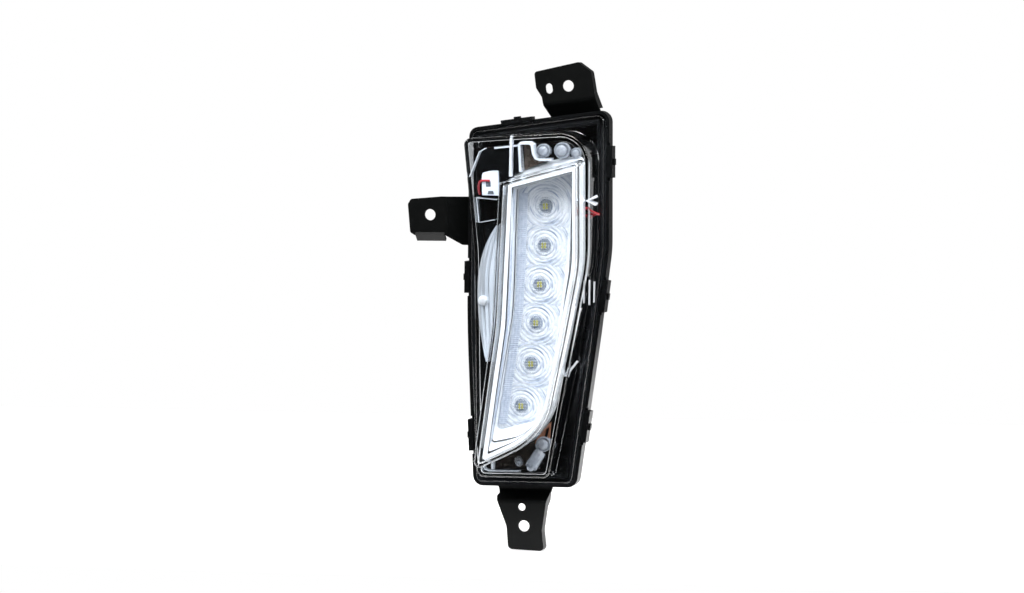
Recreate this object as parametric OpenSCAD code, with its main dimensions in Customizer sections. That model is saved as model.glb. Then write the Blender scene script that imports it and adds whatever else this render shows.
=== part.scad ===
// Daytime running light: moulded housing, stepped clear lens, six-emitter optic and three steel brackets.
// X runs to the right as seen from the front, Y runs back into the car and Z runs up.
// The origin is the centre of the round upper fixing hole, on the front face of its bracket.

/* [Housing] */
// Height of the housing at its right side
housing_h = 238; // [230:1:246]
// Width of the housing at the crown
top_w = 91.5; // [88:0.5:96]
// Width of the foot
bottom_w = 66.5; // [63:0.5:70]
// How far the crown falls towards the left
crown_drop = 12; // [8:1:16]
// Height where the right side starts to lean in
shoulder_z = 150; // [140:1:160]
// Depth of the housing behind its rim
housing_d = 58; // [54:1:64]
// Wall of the moulded tub
tub_t = 2; // [1.8:0.1:2.4]
// How much the tub narrows towards its back, each side
tub_draft = 5; // [3:0.5:6]

/* [Rim channel] */
// Thickness of the outer lip
lip_t = 2; // [1.8:0.1:2.4]
// Thickness of the lens leg
leg_t = 2.2; // [2:0.1:2.6]
// Gap between the lens leg and each lip
leg_gap = 1; // [0.8:0.1:1.2]
// Depth of the glue channel
channel_d = 9; // [8:0.5:11]
// How far the lens leg reaches into the channel
leg_d = 6.5; // [5.5:0.5:7]
// Length of a rim clamp
clamp_l = 20; // [14:1:24]
// How far a rim clamp stands out
clamp_out = 2; // [1.5:0.25:2.5]

/* [Lens] */
// Wall of the clear lens
lens_t = 2.4; // [2:0.1:2.8]
// Height of the first step above the rim, at the foot
box_low = 22; // [18:1:26]
// Height of the first step above the rim, at the crown
box_high = 36; // [30:1:40]
// Height of the blade above the first step
blade_h = 16; // [14:1:18]
// How much each step of the lens narrows towards the front, each side
lens_draft = 0.6; // [0.3:0.1:0.8]
// Height of the ledge above the rim
ledge_h = 3; // [2.5:0.5:4]

/* [Optic] */
// Number of emitters
led_count = 6; // [4:1:6]
// Distance between emitters, along the height
led_pitch = 25; // [23:0.5:26]
// Height of the top emitter
led_top_z = 179.5; // [176:0.5:181]
// Where the emitters lie between the two sides of the window
led_share = 0.61; // [0.55:0.01:0.65]
// Side of an emitter package
led_w = 3.5; // [3:0.1:4]
// Thickness of the optic's face
optic_t = 3.5; // [3:0.1:4]
// Radius of an emitter's ring pattern
ring_r = 11; // [9:0.5:12]
// Distance between rings
ring_pitch = 2.2; // [1.8:0.1:2.6]
// Distance between the serrations of the side strip
serration_pitch = 2.6; // [2.2:0.1:3.2]
// Thickness of the circuit board
board_t = 1.6; // [1.2:0.1:2]
// Depth of the heat sink's fins
fin_d = 9; // [7:0.5:10]

/* [Brackets] */
// Thickness of the bracket steel
sheet_t = 2; // [1.8:0.1:2.5]
// Bend radius at the middle of the sheet
bend_r = 3; // [2.5:0.25:4]
// Depth of the stiffening flange
flange_d = 9; // [7:0.5:12]
// Radius of the round fixing holes
fix_hole_r = 3.6; // [3.3:0.1:4]
// Radius of the small locating hole
locate_hole_r = 2.4; // [2:0.1:2.75]
// Width of the locating slot
slot_w = 4.5; // [4:0.1:5.5]
// Length of the locating slot
slot_l = 6.5; // [6:0.25:8]
// Distance from the rim's front to the bracket plates
plate_y = 12; // [10:0.5:14]

/* [Connector] */
// Inside width of the plug socket
socket_w = 19; // [17:0.5:22]
// Inside height of the plug socket
socket_h = 9; // [8:0.5:11]
// Depth of the plug socket
socket_d = 15; // [13:0.5:18]

/* [Hidden] */

// Clearance between pieces that are pushed together
fit_gap = 0.2;
// Round steps of an outline's corners, from the foot left by way of the hip and the crown to the waist
corner_steps = [5, 7, 3, 4, 8, 5, 3];
eps = 0.01;

// Corners of the housing outline, with their radii, anticlockwise from the foot left
foot_x = 4;
hip_z = 96;
hip_share = 2 / 3;
crown_x = 1.5;
waist_z = 105;
housing_corners = [
    [foot_x, 0],
    [foot_x + bottom_w, 0],
    [foot_x + bottom_w + hip_share * (top_w - foot_x - bottom_w), hip_z],
    [top_w, shoulder_z],
    [top_w, housing_h],
    [crown_x, housing_h - crown_drop],
    [0, waist_z]
];
housing_radii = [6.5, 6.5, 200, 90, 7, 6, 900];

// The lens's first step, from the housing's corners
box_steps = [[7.5, 7.5], [-13, 7.5], [-6.7, 2], [-4.9, 2], [-4.6, -14], [4.5, -9], [11.8, 45]];
box_corners = housing_corners + box_steps;
box_radii = [5, 5, 150, 120, 18, 4, 120];

// The blade, from the first step's corners
blade_steps = [[0.7, 5.5], [7.5, 30.7], [-2, 0], [-1.6, 0], [-1.7, -17], [26, -24], [14.5, -45]];
blade_corners = box_corners + blade_steps;
blade_radii = [4, 34, 120, 100, 2.5, 3, 150];

// The window of the bezel, from the blade's corners
window_steps = [[12.1, 23.5], [-10.5, 6.8], [-14.8, -18], [-16.5, -22], [-10.1, -8], [7.9, -4.7], [10.3, 10]];
window_corners = blade_corners + window_steps;
window_radii = [2.5, 13, 90, 90, 2, 2, 120];

// Places of the bracket feet on the housing's edges, and the upper fixing hole above its foot
bracket_screw_r = 1.9;
upper_slope = atan2(crown_drop, top_w - crown_x);
upper_foot_x = 63;
upper_foot = [upper_foot_x, housing_h - (top_w - upper_foot_x) * tan(upper_slope)];
upper_hole_at = [2, 18.2];
upper_hole = upper_foot + turned(upper_hole_at, upper_slope);
left_foot_z = 170;
lower_foot_x = 34;

// Upright depths, measured back from the rim's front
channel_w = leg_t + 2 * leg_gap;
leg_in = lip_t + leg_gap;
inner_lip_in = lip_t + channel_w;
tub_in = inner_lip_in + tub_t;
inner_lip_y = 2;
rim_d = channel_d + tub_t;

// Depths in the leaning front frame, measured back from the face of the lens's first step
lean = atan((box_high - box_low) / housing_h);
bezel_t = 1.5;
bezel_front = -(blade_h - lens_t - 1.6);
bezel_in = [3.6, 3.4, 2.9, 5.6];
bezel_rim_w = 2.2;
bezel_draft = 0.8;
window_y = 3;
carrier_y = 16;
carrier_t = 2;
carrier_in = [3.8, 8.2, 4.2, 3.8];
carrier_lip_h = 3;
carrier_lip_t = 1.6;
carrier_head_r = 2.6;
optic_y = window_y + bezel_t + fit_gap;
optic_lap = 1.4;
optic_wall = 1.8;
board_y = carrier_y + carrier_t;
pad_t = 0.6;
sink_y = board_y + board_t + pad_t;
sink_t = 2;

fins = 7;
fin_pitch = 8;
fin_t = 1.5;

// Plane geometry of rounded outlines

function unit(v) = v / norm(v);
function across(v) = [-v.y, v.x];
function turned(v, a) = [v.x * cos(a) - v.y * sin(a), v.x * sin(a) + v.y * cos(a)];
function turn(u, v) = atan2(u.x * v.y - u.y * v.x, u * v);

// A rounded corner at q between p and r: its arc has the given number of steps
function arc(p, q, r, radius, steps) =
    let (u = unit(q - p), v = unit(r - q), a = turn(u, v))
    let (start = q - u * radius * tan(abs(a) / 2), middle = start + sign(a) * radius * across(u))
    radius == 0 ? [q] : [for (j = [0:steps]) middle + turned(start - middle, a * j / steps)];

// Insets of the bottom, right, top and left sides, spread over the seven edges
function edge_insets(d) = is_list(d) ? [d[0], d[1], d[1], d[1], d[2], d[3], d[3]] : [for (i = [0:6]) d];

function moved_corner(q, n1, n2, d1, d2) =
    let (k = n1 * n2)
    abs(d1 - d2) < eps
        ? q + d1 * (n1 + n2) / (1 + k)
        : q + ((d1 - k * d2) * n1 + (d2 - k * d1) * n2) / (1 - k * k);

function inset_corners(c, d) =
    let (s = edge_insets(d), n = len(c))
    [for (i = [0:n - 1])
        let (p = c[(i + n - 1) % n], q = c[i], r = c[(i + 1) % n])
        moved_corner(q, across(unit(q - p)), across(unit(r - q)), s[(i + n - 1) % n], s[i])];

// A closed outline, moved in by d, whose arcs keep their centres where they can
function outline(c, radii, d = 0) =
    let (m = inset_corners(c, d), n = len(c), shrink = is_list(d) ? min(d) : d)
    [for (i = [0:n - 1])
        let (p = m[(i + n - 1) % n], q = m[i], r = m[(i + 1) % n])
        let (side = sign(turn(q - p, r - q)))
        each arc(p, q, r, max(radii[i] - side * shrink, 0.5), corner_steps[i])];

function housing_outline(d = 0) = outline(housing_corners, housing_radii, d);
function box_outline(d = 0) = outline(box_corners, box_radii, d);
function blade_outline(d = 0) = outline(blade_corners, blade_radii, d);
function window_outline(d = 0) = outline(window_corners, window_radii, d);

function moved_by(d, by) = is_list(d) ? [for (e = d) e + by] : d + by;

// The x of the broken line through points a, b and c at height z
function line_x(a, b, z) = a.x + (b.x - a.x) * (z - a.y) / (b.y - a.y);
function left_x(c, z) = z > c[6].y ? line_x(c[6], c[5], z) : line_x(c[0], c[6], z);
function right_x(c, z) =
    z > c[3].y ? line_x(c[3], c[4], z) : z > c[2].y ? line_x(c[2], c[3], z) : line_x(c[1], c[2], z);

// Rings of points in space, upright or in the leaning front frame

function upright_ring(points, y) = [for (p = points) [p.x, y, p.y]];
function front_point(x, y, s) = [x, y * cos(lean) - s * sin(lean) - box_low, y * sin(lean) + s * cos(lean)];
function front_ring(points, y) = [for (p = points) front_point(p.x, y, p.y)];

// A skin through rings that have the same number of points, closed by end faces or by its first ring
module skin(rings, looped = false) {
    n = len(rings[0]);
    last = len(rings) - 1;
    sides = [
        for (i = [0:looped ? last : last - 1], j = [0:n - 1])
            let (a = i * n, b = ((i + 1) % (last + 1)) * n, k = (j + 1) % n)
            each [[a + j, b + j, b + k], [a + j, b + k, a + k]]
    ];
    ends = looped ? [] : [[for (j = [0:n - 1]) j], [for (j = [n - 1:-1:0]) last * n + j]];
    polyhedron(points = [for (r = rings) each r], faces = concat(ends, sides));
}

// Frames

module lamp() {
    translate([-upper_hole.x, -plate_y, -upper_hole.y]) children();
}

module front() {
    lamp() translate([0, -box_low, 0]) rotate([lean, 0, 0]) children();
}

// A slab of a plane shape, from depth y to y + t
module slab(y, t) {
    translate([0, y + t, 0]) rotate([90, 0, 0]) linear_extrude(t) children();
}

// A rod or hole along the depth
module rod(x, z, r, y, l, sides = 32) {
    translate([x, y, z]) rotate([-90, 0, 0]) cylinder(r = r, h = l, $fn = sides);
}

module ring_area(points, holes) {
    difference() {
        polygon(points);
        polygon(holes);
    }
}

// A pan head screw that stands on the plane z = 0 and whose shank runs down
module screw(r, l, head_r, head_h) {
    difference() {
        union() {
            translate([0, 0, -l]) cylinder(r = r, h = l + eps, $fn = 24);
            cylinder(r = head_r, h = head_h, $fn = 32);
        }
        translate([0, 0, head_h * 0.4]) cylinder(r = head_r * 0.42, h = head_h, $fn = 6);
    }
}

// The same screw driven in from the front, with its head on depth y
module front_screw(x, z, y, r, l, head_r, head_h) {
    translate([x, y, z]) rotate([90, 0, 0]) screw(r, l, head_r, head_h);
}

// Rear housing

clamp_places = [[4, 60], [5, 94], [6, 73], [1, 39], [2, 25], [3, 55]];
socket_at = [42, 62];
socket_t = 1.8;
breather_at = [46, 188];
breather_r = 6;
terminal_w = 2.8;
terminal_t = 0.8;
terminal_gap = 7;
terminal_out = 7;

// Carries its children along an edge of the housing outline: X runs along the edge and Z points inwards
module along_edge(edge, distance) {
    p = housing_corners[edge];
    q = housing_corners[(edge + 1) % 7];
    d = unit(q - p);
    translate([p.x + d.x * distance, 0, p.y + d.y * distance]) rotate([0, -atan2(d.y, d.x), 0]) children();
}

module rim_clamp() {
    nub_l = 4;
    nub_out = 1.2;
    translate([-clamp_l / 2, -0.6, -clamp_out]) cube([clamp_l, rim_d - 1, clamp_out + lip_t / 2]);
    translate([-nub_l / 2, 2, -clamp_out - nub_out]) cube([nub_l, 4, nub_out + 0.5]);
}

module clamp_notches() {
    notch_w = 2;
    notch_d = 3;
    for (side = [-1, 1]) {
        translate([side * (clamp_l + notch_w) / 2 - notch_w / 2, -1, -1])
            cube([notch_w, notch_d + 1, lip_t + 1.4]);
    }
}

module tub_outside() {
    skin([
        upright_ring(housing_outline(inner_lip_in + tub_draft + 4), housing_d),
        upright_ring(housing_outline(inner_lip_in + tub_draft + 1.2), housing_d - 0.8),
        upright_ring(housing_outline(inner_lip_in + tub_draft), housing_d - 3.5),
        upright_ring(housing_outline(inner_lip_in + 0.5), rim_d - 1)
    ]);
}

module tub_inside() {
    skin([
        upright_ring(housing_outline(tub_in + tub_draft + 2), housing_d - tub_t),
        upright_ring(housing_outline(tub_in + tub_draft), housing_d - tub_t - 2),
        upright_ring(housing_outline(tub_in), inner_lip_y),
        upright_ring(housing_outline(tub_in), -1)
    ]);
}

// The rim with its glue channel, a little thicker on the inside than the tub that is cut out of it
module rim() {
    inside = housing_outline(tub_in + 0.4);
    skin([
        upright_ring(inside, inner_lip_y),
        upright_ring(inside, rim_d),
        upright_ring(housing_outline(), rim_d),
        upright_ring(housing_outline(), 0),
        upright_ring(housing_outline(lip_t), 0),
        upright_ring(housing_outline(lip_t), channel_d),
        upright_ring(housing_outline(inner_lip_in), channel_d),
        upright_ring(housing_outline(inner_lip_in), inner_lip_y)
    ], looped = true);
}

module back_ribs() {
    rib_t = 1.6;
    rib_h = 5;
    rib_sink = 1;
    margin = 14;
    upright_l = housing_h - 60;
    for (z = [28, 100, 136, 214]) {
        translate([foot_x + margin, housing_d - rib_sink, z])
            cube([right_x(housing_corners, z) - foot_x - 2 * margin - 2, rib_h, rib_t]);
    }
    for (x = [26, 58]) {
        translate([x, housing_d - rib_sink, 24]) cube([rib_t, rib_h, upright_l]);
    }
}

module plug_socket() {
    w = socket_w + 2 * socket_t;
    h = socket_h + 2 * socket_t;
    translate([socket_at.x - w / 2, housing_d - 0.8, socket_at.y - h / 2]) cube([w, socket_d + 0.8, h]);
    translate([socket_at.x - 3, housing_d + socket_d - 5, socket_at.y + h / 2 - 0.5]) cube([6, 3, 2]);
}

// Posts that carry the carrier plate, from its back to the back wall
carrier_posts = [[21, 16.5], [20.5, 98], [18, 206], [73.6, 209], [46, 15.8]];
post_r = 3.6;
module post_at(p) {
    back = (housing_d - tub_t / 2 + box_low + p.y * sin(lean)) / cos(lean);
    translate([0, -box_low, 0]) rotate([lean, 0, 0]) rod(p.x, p.y, post_r, board_y, back - board_y);
}

// Pads on the sides of the tub where the bracket feet are screwed down
foot_drop = 5.5;
foot_back = 44;
foot_w = 24;
foot_screw_gap = 14;
foot_screw_y = 35;
foot_start = 26;
foot_screw_l = 4.2;
module bracket_pad() {
    pad_l = foot_back - foot_start + 4;
    pad_h = 8;
    translate([-foot_w / 2, foot_start, -foot_drop - pad_h]) cube([foot_w, pad_l, pad_h]);
}

module pad_pilot_holes() {
    for (side = [-1, 1]) {
        translate([side * foot_screw_gap / 2, foot_screw_y, -foot_drop - foot_screw_l - 0.3])
            cylinder(r = bracket_screw_r + 0.1, h = foot_screw_l + 2, $fn = 24);
    }
}

// Frames of the three brackets: X runs along the housing's edge and Z points away from the housing
module on_upper_edge() {
    translate([upper_foot.x, 0, upper_foot.y]) rotate([0, -upper_slope, 0]) children();
}

module on_left_edge() {
    translate([left_x(housing_corners, left_foot_z), 0, left_foot_z]) rotate([0, -90, 0]) children();
}

module on_lower_edge() {
    translate([lower_foot_x, 0, 0]) rotate([0, 180, 0]) children();
}

// A blade terminal on one side of the socket, or the slot that holds it
module terminal(side, y, l, grow = 0) {
    w = terminal_w + 2 * grow;
    t = terminal_t + 2 * grow;
    translate([socket_at.x + side * terminal_gap / 2 - w / 2, y, socket_at.y - t / 2]) cube([w, l, t]);
}

module rear_housing() {
    color("#17181a") lamp() difference() {
        union() {
            difference() {
                union() {
                    tub_outside();
                    rim();
                    on_upper_edge() bracket_pad();
                    on_left_edge() bracket_pad();
                    on_lower_edge() bracket_pad();
                }
                tub_inside();
            }
            for (c = clamp_places) along_edge(c[0], c[1]) rim_clamp();
            for (p = carrier_posts) post_at(p);
            back_ribs();
            plug_socket();
            translate([clip_at.x - clip_w / 2, clip_shelf_y, clip_at.y - clip_l / 2])
                cube([clip_w + 2, 2, clip_l]);
            rod(breather_at.x, breather_at.y, breather_r - 1.8, housing_d - 0.8, 6.8);
        }
        for (c = clamp_places) along_edge(c[0], c[1]) clamp_notches();
        on_upper_edge() pad_pilot_holes();
        on_left_edge() pad_pilot_holes();
        on_lower_edge() pad_pilot_holes();
        translate([socket_at.x - socket_w / 2, housing_d + 1, socket_at.y - socket_h / 2])
            cube([socket_w, socket_d, socket_h]);
        for (side = [-1, 1]) terminal(side, housing_d - tub_t - 1, tub_t + 3, 0.1);
        rod(breather_at.x, breather_at.y, 2, housing_d - tub_t - 1, 10, 24);
        for (p = carrier_posts) translate([0, -box_low, 0]) rotate([lean, 0, 0])
            rod(p.x, p.y, 1.3, board_y - 1, 12, 24);
    }
}

module lens_sealant() {
    bead_in = lip_t + 0.1;
    color("#3a3c3f") lamp() slab(leg_d, channel_d - leg_d)
        ring_area(housing_outline(bead_in), housing_outline(inner_lip_in - 0.1));
}

// Outer lens

module outer_lens() {
    leg_out = leg_in + leg_t;
    color("#dfe9f2", 0.3) lamp() skin([
        front_ring(blade_outline(lens_t + 1.2), lens_t - blade_h),
        front_ring(blade_outline(lens_t), lens_t - blade_h + 1.2),
        front_ring(blade_outline(lens_t - lens_draft), lens_t),
        front_ring(box_outline(lens_t + 0.4), lens_t),
        upright_ring(box_outline(lens_t - lens_draft), leg_t - ledge_h),
        upright_ring(housing_outline(leg_out), leg_t - ledge_h),
        upright_ring(housing_outline(leg_out), leg_d),
        upright_ring(housing_outline(leg_in), leg_d),
        upright_ring(housing_outline(leg_in), 0.5 - ledge_h),
        upright_ring(housing_outline(leg_in + 0.3), -ledge_h),
        upright_ring(box_outline(-lens_draft), -ledge_h),
        front_ring(box_outline(0), 1.2),
        front_ring(box_outline(0.35), 0.35),
        front_ring(box_outline(1), 0),
        front_ring(blade_outline(-lens_draft), 0),
        front_ring(blade_outline(0), 1.5 - blade_h),
        front_ring(blade_outline(0.45), 0.45 - blade_h),
        front_ring(blade_outline(1.5), -blade_h)
    ]);
}

// Bezel, optic and carrier

module front_bezel() {
    skirt_in = moved_by(bezel_in, -bezel_draft);
    color("#e8ebee") difference() {
        lamp() skin([
            front_ring(blade_outline(skirt_in), carrier_y),
            front_ring(blade_outline(bezel_in), bezel_front),
            front_ring(blade_outline(moved_by(bezel_in, bezel_rim_w)), bezel_front),
            front_ring(window_outline(0), window_y),
            front_ring(window_outline(0), window_y + bezel_t),
            front_ring(blade_outline(moved_by(bezel_in, bezel_t)), bezel_front + bezel_t),
            front_ring(blade_outline(moved_by(skirt_in, bezel_t)), carrier_y)
        ], looped = true);
        front() for (e = optic_ears) ear_shape(e, fit_gap + 0.2, carrier_y - ear_t - 0.4, ear_t + 1);
    }
    color("#e8ebee") front() for (e = bezel_tabs) difference() {
        ear_shape(e, 0, carrier_y - ear_t, ear_t);
        slab(carrier_y - ear_t - 1, ear_t + 2) polygon(blade_outline(moved_by(skirt_in, bezel_t / 2)));
        rod(e[0].x, e[0].y, 1.5, carrier_y - ear_t - 1, ear_t + 2, 24);
    }
}

// Ears of the optic and tabs of the bezel: the screw's place and the point that the ear runs to
optic_ears = [[[66, 212.2], [64, 194]], [[49.6, 26.5], [44, 46]]];
bezel_tabs = [[[54, 212.2], [55, 198]], [[36, 17.2], [36, 30]]];
ear_r = 4;
ear_t = 3;

module ear_shape(e, grow, y, t) {
    slab(y, t) hull() {
        translate(e[0]) circle(r = ear_r + grow, $fn = 24);
        translate(e[1]) circle(r = ear_r + grow, $fn = 24);
    }
}

function led_at(i) =
    let (z = led_top_z - i * led_pitch, a = left_x(window_corners, z), b = right_x(window_corners, z))
    [a + led_share * (b - a), z];

// Concentric rings and a centre dome, standing on the optic's face
module ring_pattern(p) {
    rings = floor((ring_r - 3) / ring_pitch);
    profile = concat(
        [[0, 0.5], [0, -1.2], [1.4, -1], [2.4, -0.4]],
        [for (k = [0:rings - 1])
            let (r = 3 + k * ring_pitch)
            each [[r, 0], [r + ring_pitch * 0.35, -0.6], [r + ring_pitch * 0.8, -0.1]]],
        [[ring_r, 0], [ring_r, 0.5]]
    );
    translate([p.x, optic_y, p.y]) rotate([-90, 0, 0]) rotate_extrude($fn = 48) polygon(profile);
}

// A comb of serrations from a down to b, along one stretch of the window's left side
module serrated_strip(a, b) {
    strip_w = 3;
    tooth_h = 0.7;
    l = norm(b - a);
    teeth = floor(l / serration_pitch);
    comb = concat(
        [[0, 0.4]],
        [for (k = [0:teeth - 1])
            each [[k * serration_pitch, 0], [(k + 0.5) * serration_pitch, -tooth_h]]],
        [[teeth * serration_pitch, 0], [teeth * serration_pitch, 0.4]]
    );
    translate([a.x, optic_y, a.y]) rotate([0, -atan2(b.y - a.y, b.x - a.x), 0])
        linear_extrude(strip_w) polygon(comb);
}

module inner_optic() {
    face = window_outline(-optic_lap);
    inner = window_outline(-optic_lap + optic_wall);
    strip = inset_corners(window_corners, 2.6);
    color("#cfe2f3", 0.6) front() {
        slab(optic_y, optic_t) polygon(face);
        slab(optic_y + optic_t - eps, carrier_y - optic_y - optic_t + eps) ring_area(face, inner);
        intersection() {
            slab(optic_y - 2, 3) polygon(window_outline(0.6));
            for (i = [0:led_count - 1]) ring_pattern(led_at(i));
        }
        serrated_strip(strip[5], strip[6]);
        serrated_strip(strip[6], strip[0]);
        for (e = optic_ears) difference() {
            ear_shape(e, 0, carrier_y - ear_t, ear_t);
            slab(carrier_y - ear_t - 1, ear_t + 2) polygon(inner);
            rod(e[0].x, e[0].y, 1.5, carrier_y - ear_t - 1, ear_t + 2, 24);
        }
    }
}

module optic_screws() {
    color("#b8bcc0") front() for (e = concat(optic_ears, bezel_tabs)) {
        front_screw(e[0].x, e[0].y, carrier_y - ear_t, 1.3, 7, 2.6, 1.8);
    }
}

module carrier_hole(p, r, sides = 24) {
    rod(p.x, p.y, r, carrier_y - 1, carrier_t + 2, sides);
}

module carrier_plate() {
    edge = box_outline(carrier_in);
    inner = box_outline(moved_by(carrier_in, carrier_lip_t));
    color("#8a7a66") front() difference() {
        union() {
            slab(carrier_y, carrier_t) polygon(edge);
            slab(carrier_y - carrier_lip_h, carrier_lip_h + eps) difference() {
                ring_area(edge, inner);
                polygon(blade_outline(moved_by(bezel_in, -bezel_draft - fit_gap)));
                for (e = concat(optic_ears, bezel_tabs)) translate(e[0]) circle(r = ear_r + fit_gap, $fn = 32);
                for (p = carrier_posts) translate(p) circle(r = carrier_head_r + fit_gap, $fn = 32);
            }
        }
        for (i = [0:led_count - 1]) carrier_hole(led_at(i), 5.5, 48);
        for (p = carrier_posts) carrier_hole(p, 1.6);
        for (e = concat(optic_ears, bezel_tabs)) carrier_hole(e[0], 1.4);
        for (p = concat(board_screw_at, [mirror_screw_at])) carrier_hole(p, 1.3);
        for (i = [0:led_count - 2]) driver_block(i, carrier_y - 1, carrier_t + 2, 0.5);
    }
}

module carrier_screws() {
    shank_l = 10;
    color("#b8bcc0") front() for (p = carrier_posts) front_screw(p.x, p.y, carrier_y, 1.2, shank_l, carrier_head_r, 2);
}

board_screw_at = [[46, 179], [42, 128], [33, 62]];
module circuit_board() {
    color("#e9ece8") front() difference() {
        slab(board_y, board_t) polygon(window_outline(1));
        for (p = board_screw_at) rod(p.x, p.y, 1.6, board_y - 1, board_t + 2, 24);
    }
}

module led_packages() {
    color("#e8d44a") front() for (i = [0:led_count - 1]) {
        p = led_at(i);
        translate([p.x - led_w / 2, board_y - 0.8, p.y - led_w / 2]) cube([led_w, 0.8, led_w]);
        rod(p.x, p.y, led_w * 0.38, board_y - 1.5, 0.7 + eps, 32);
    }
}

// A driver part between emitters i and i + 1, or the window that it stands in
module driver_block(i, from, h, grow = 0) {
    p = (led_at(i) + led_at(i + 1)) / 2;
    part_w = 4;
    part_l = 3;
    translate([p.x - 14 - grow, from, p.y - part_l / 2 - grow]) cube([part_w + 2 * grow, h, part_l + 2 * grow]);
}

module driver_parts() {
    part_h = carrier_t - 0.3;
    color("#26282b") front() for (i = [0:led_count - 2]) driver_block(i, board_y - part_h, part_h);
}

module thermal_pad() {
    color("#9aa0a8") front() difference() {
        slab(board_y + board_t, pad_t) polygon(window_outline(1.5));
        for (p = board_screw_at) rod(p.x, p.y, 1.8, board_y, board_t + 2, 24);
    }
}

module heat_sink() {
    color("#b9bdc2") front() difference() {
        union() {
            slab(sink_y, sink_t) polygon(window_outline(0));
            intersection() {
                slab(sink_y, sink_t + fin_d) polygon(window_outline(1));
                for (k = [0:fins - 1])
                    translate([24 + k * fin_pitch, sink_y, 0]) cube([fin_t, sink_t + fin_d, housing_h]);
            }
        }
        for (p = board_screw_at) rod(p.x, p.y, 1.25, sink_y - 1, sink_t + 2, 24);
    }
}

module board_screws() {
    shank_l = sink_y + sink_t + 1 - carrier_y;
    color("#b8bcc0") front() for (p = board_screw_at) front_screw(p.x, p.y, carrier_y, 1.15, shank_l, 2.2, 1.4);
}

// The black panel beside the bezel's upper left side, with the recess below the plug

panel_y = carrier_y - 4;
panel_t = 1.4;
panel_foot_z = 152;
panel_right_x = 33;
recess_at = [14.5, 167.5];
recess_size = [10, 14];
plug_at = [15.5, 184.5];
plug_size = [10.5, 15];
plug_h = 8;

module panel_shape() {
    difference() {
        intersection() {
            polygon(box_outline(5.8));
            translate([0, panel_foot_z]) square([panel_right_x, housing_h]);
        }
        polygon(blade_outline(3.9));
    }
}

module panel_window(at, size, grow = 0) {
    translate([at.x - grow, at.y - grow]) square([size.x + 2 * grow, size.y + 2 * grow]);
}

module side_panel() {
    color("#101113") front() difference() {
        union() {
            slab(panel_y, panel_t) panel_shape();
            slab(panel_y, carrier_y - panel_y) difference() {
                panel_shape();
                offset(delta = -1.2) panel_shape();
            }
            slab(panel_y - 1, 1 + eps) difference() {
                panel_window(recess_at, recess_size, 1);
                panel_window(recess_at, recess_size);
            }
        }
        slab(panel_y - 2, 4) panel_window(recess_at, recess_size);
        slab(panel_y - 2, 8) panel_window(plug_at, plug_size, 0.4);
    }
}

module wire_plug() {
    cell_w = 3.6;
    color("#f2f3f1") front() difference() {
        slab(carrier_y - plug_h, plug_h) panel_window(plug_at, plug_size);
        for (side = [-1, 1]) {
            cell_x = plug_at.x + plug_size.x / 2 + side * 2.4 - cell_w / 2;
            translate([cell_x, carrier_y - plug_h - 1, plug_at.y + plug_size.y - 7]) cube([cell_w, 5, 5]);
        }
        translate([plug_at.x - 1, carrier_y - plug_h + 2, plug_at.y + 4]) cube([4, 3, 3]);
    }
}

// The curved mirror that fans out from the bezel's left side, on its screw boss

mirror_r = 18.3;
mirror_at = [33, 21.5];
mirror_t = 1.2;
mirror_foot_z = 80;
mirror_top_z = 150;
mirror_screw_at = [20.4, 118];
mirror_seat_y = 8.5;

module mirror_shape() {
    difference() {
        intersection() {
            polygon(box_outline(5.6));
            translate([mirror_screw_at.x + 22, (mirror_foot_z + mirror_top_z) / 2]) circle(r = 42, $fn = 96);
            translate([0, mirror_foot_z]) square([60, mirror_top_z - mirror_foot_z]);
        }
        polygon(blade_outline(4.4));
    }
}

module side_reflector() {
    color("#e3e7ea") front() difference() {
        union() {
            intersection() {
                slab(0, carrier_y) mirror_shape();
                translate([mirror_at.x, mirror_at.y, 0]) difference() {
                    cylinder(r = mirror_r, h = housing_h, $fn = 96);
                    translate([0, 0, -1]) cylinder(r = mirror_r - mirror_t, h = housing_h + 2, $fn = 96);
                }
            }
            rod(mirror_screw_at.x, mirror_screw_at.y, 3, mirror_seat_y - 1, carrier_y - mirror_seat_y + 1);
        }
        rod(mirror_screw_at.x, mirror_screw_at.y, 3, -8, mirror_seat_y + 8);
        rod(mirror_screw_at.x, mirror_screw_at.y, 1.3, mirror_seat_y - 1, carrier_y, 24);
    }
}

module reflector_screw() {
    shank_l = carrier_y - mirror_seat_y + carrier_t;
    color("#b8bcc0") front()
        front_screw(mirror_screw_at.x, mirror_screw_at.y, mirror_seat_y, 1.15, shank_l, 2.6, 1.8);
}

// Wires

function spline_point(a, b, c, d, t) =
    0.5 * (2 * b + (c - a) * t + (2 * a - 5 * b + 4 * c - d) * t * t + (3 * b - a - 3 * c + d) * t * t * t);

function spline(p, steps) =
    let (last = len(p) - 1)
    concat(
        [for (i = [0:last - 1], k = [0:steps - 1])
            spline_point(p[max(i - 1, 0)], p[i], p[i + 1], p[min(i + 2, last)], k / steps)],
        [p[last]]
    );

// A round tube swept along a route
module tube(route, r, sides = 8) {
    last = len(route) - 1;
    lean_to = [0.85, 0.1, -0.35];
    rings = [for (i = [0:last])
        let (t = unit(route[min(i + 1, last)] - route[max(i - 1, 0)]))
        let (u = unit(cross(t, lean_to)), v = cross(t, u))
        [for (k = [0:sides - 1]) route[i] + r * (cos(360 * k / sides) * u + sin(360 * k / sides) * v)]];
    skin(rings);
}

wire_r = 0.9;
wire_gap = 1.15;
board_touch = 0.8;
wire_steps = 4;
terminal_back = 3;
clip_at = [79.2, 180];
clip_w = 6.6;
clip_l = 6;
clip_shelf_y = 5;
board_entry_z = 171;

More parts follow.
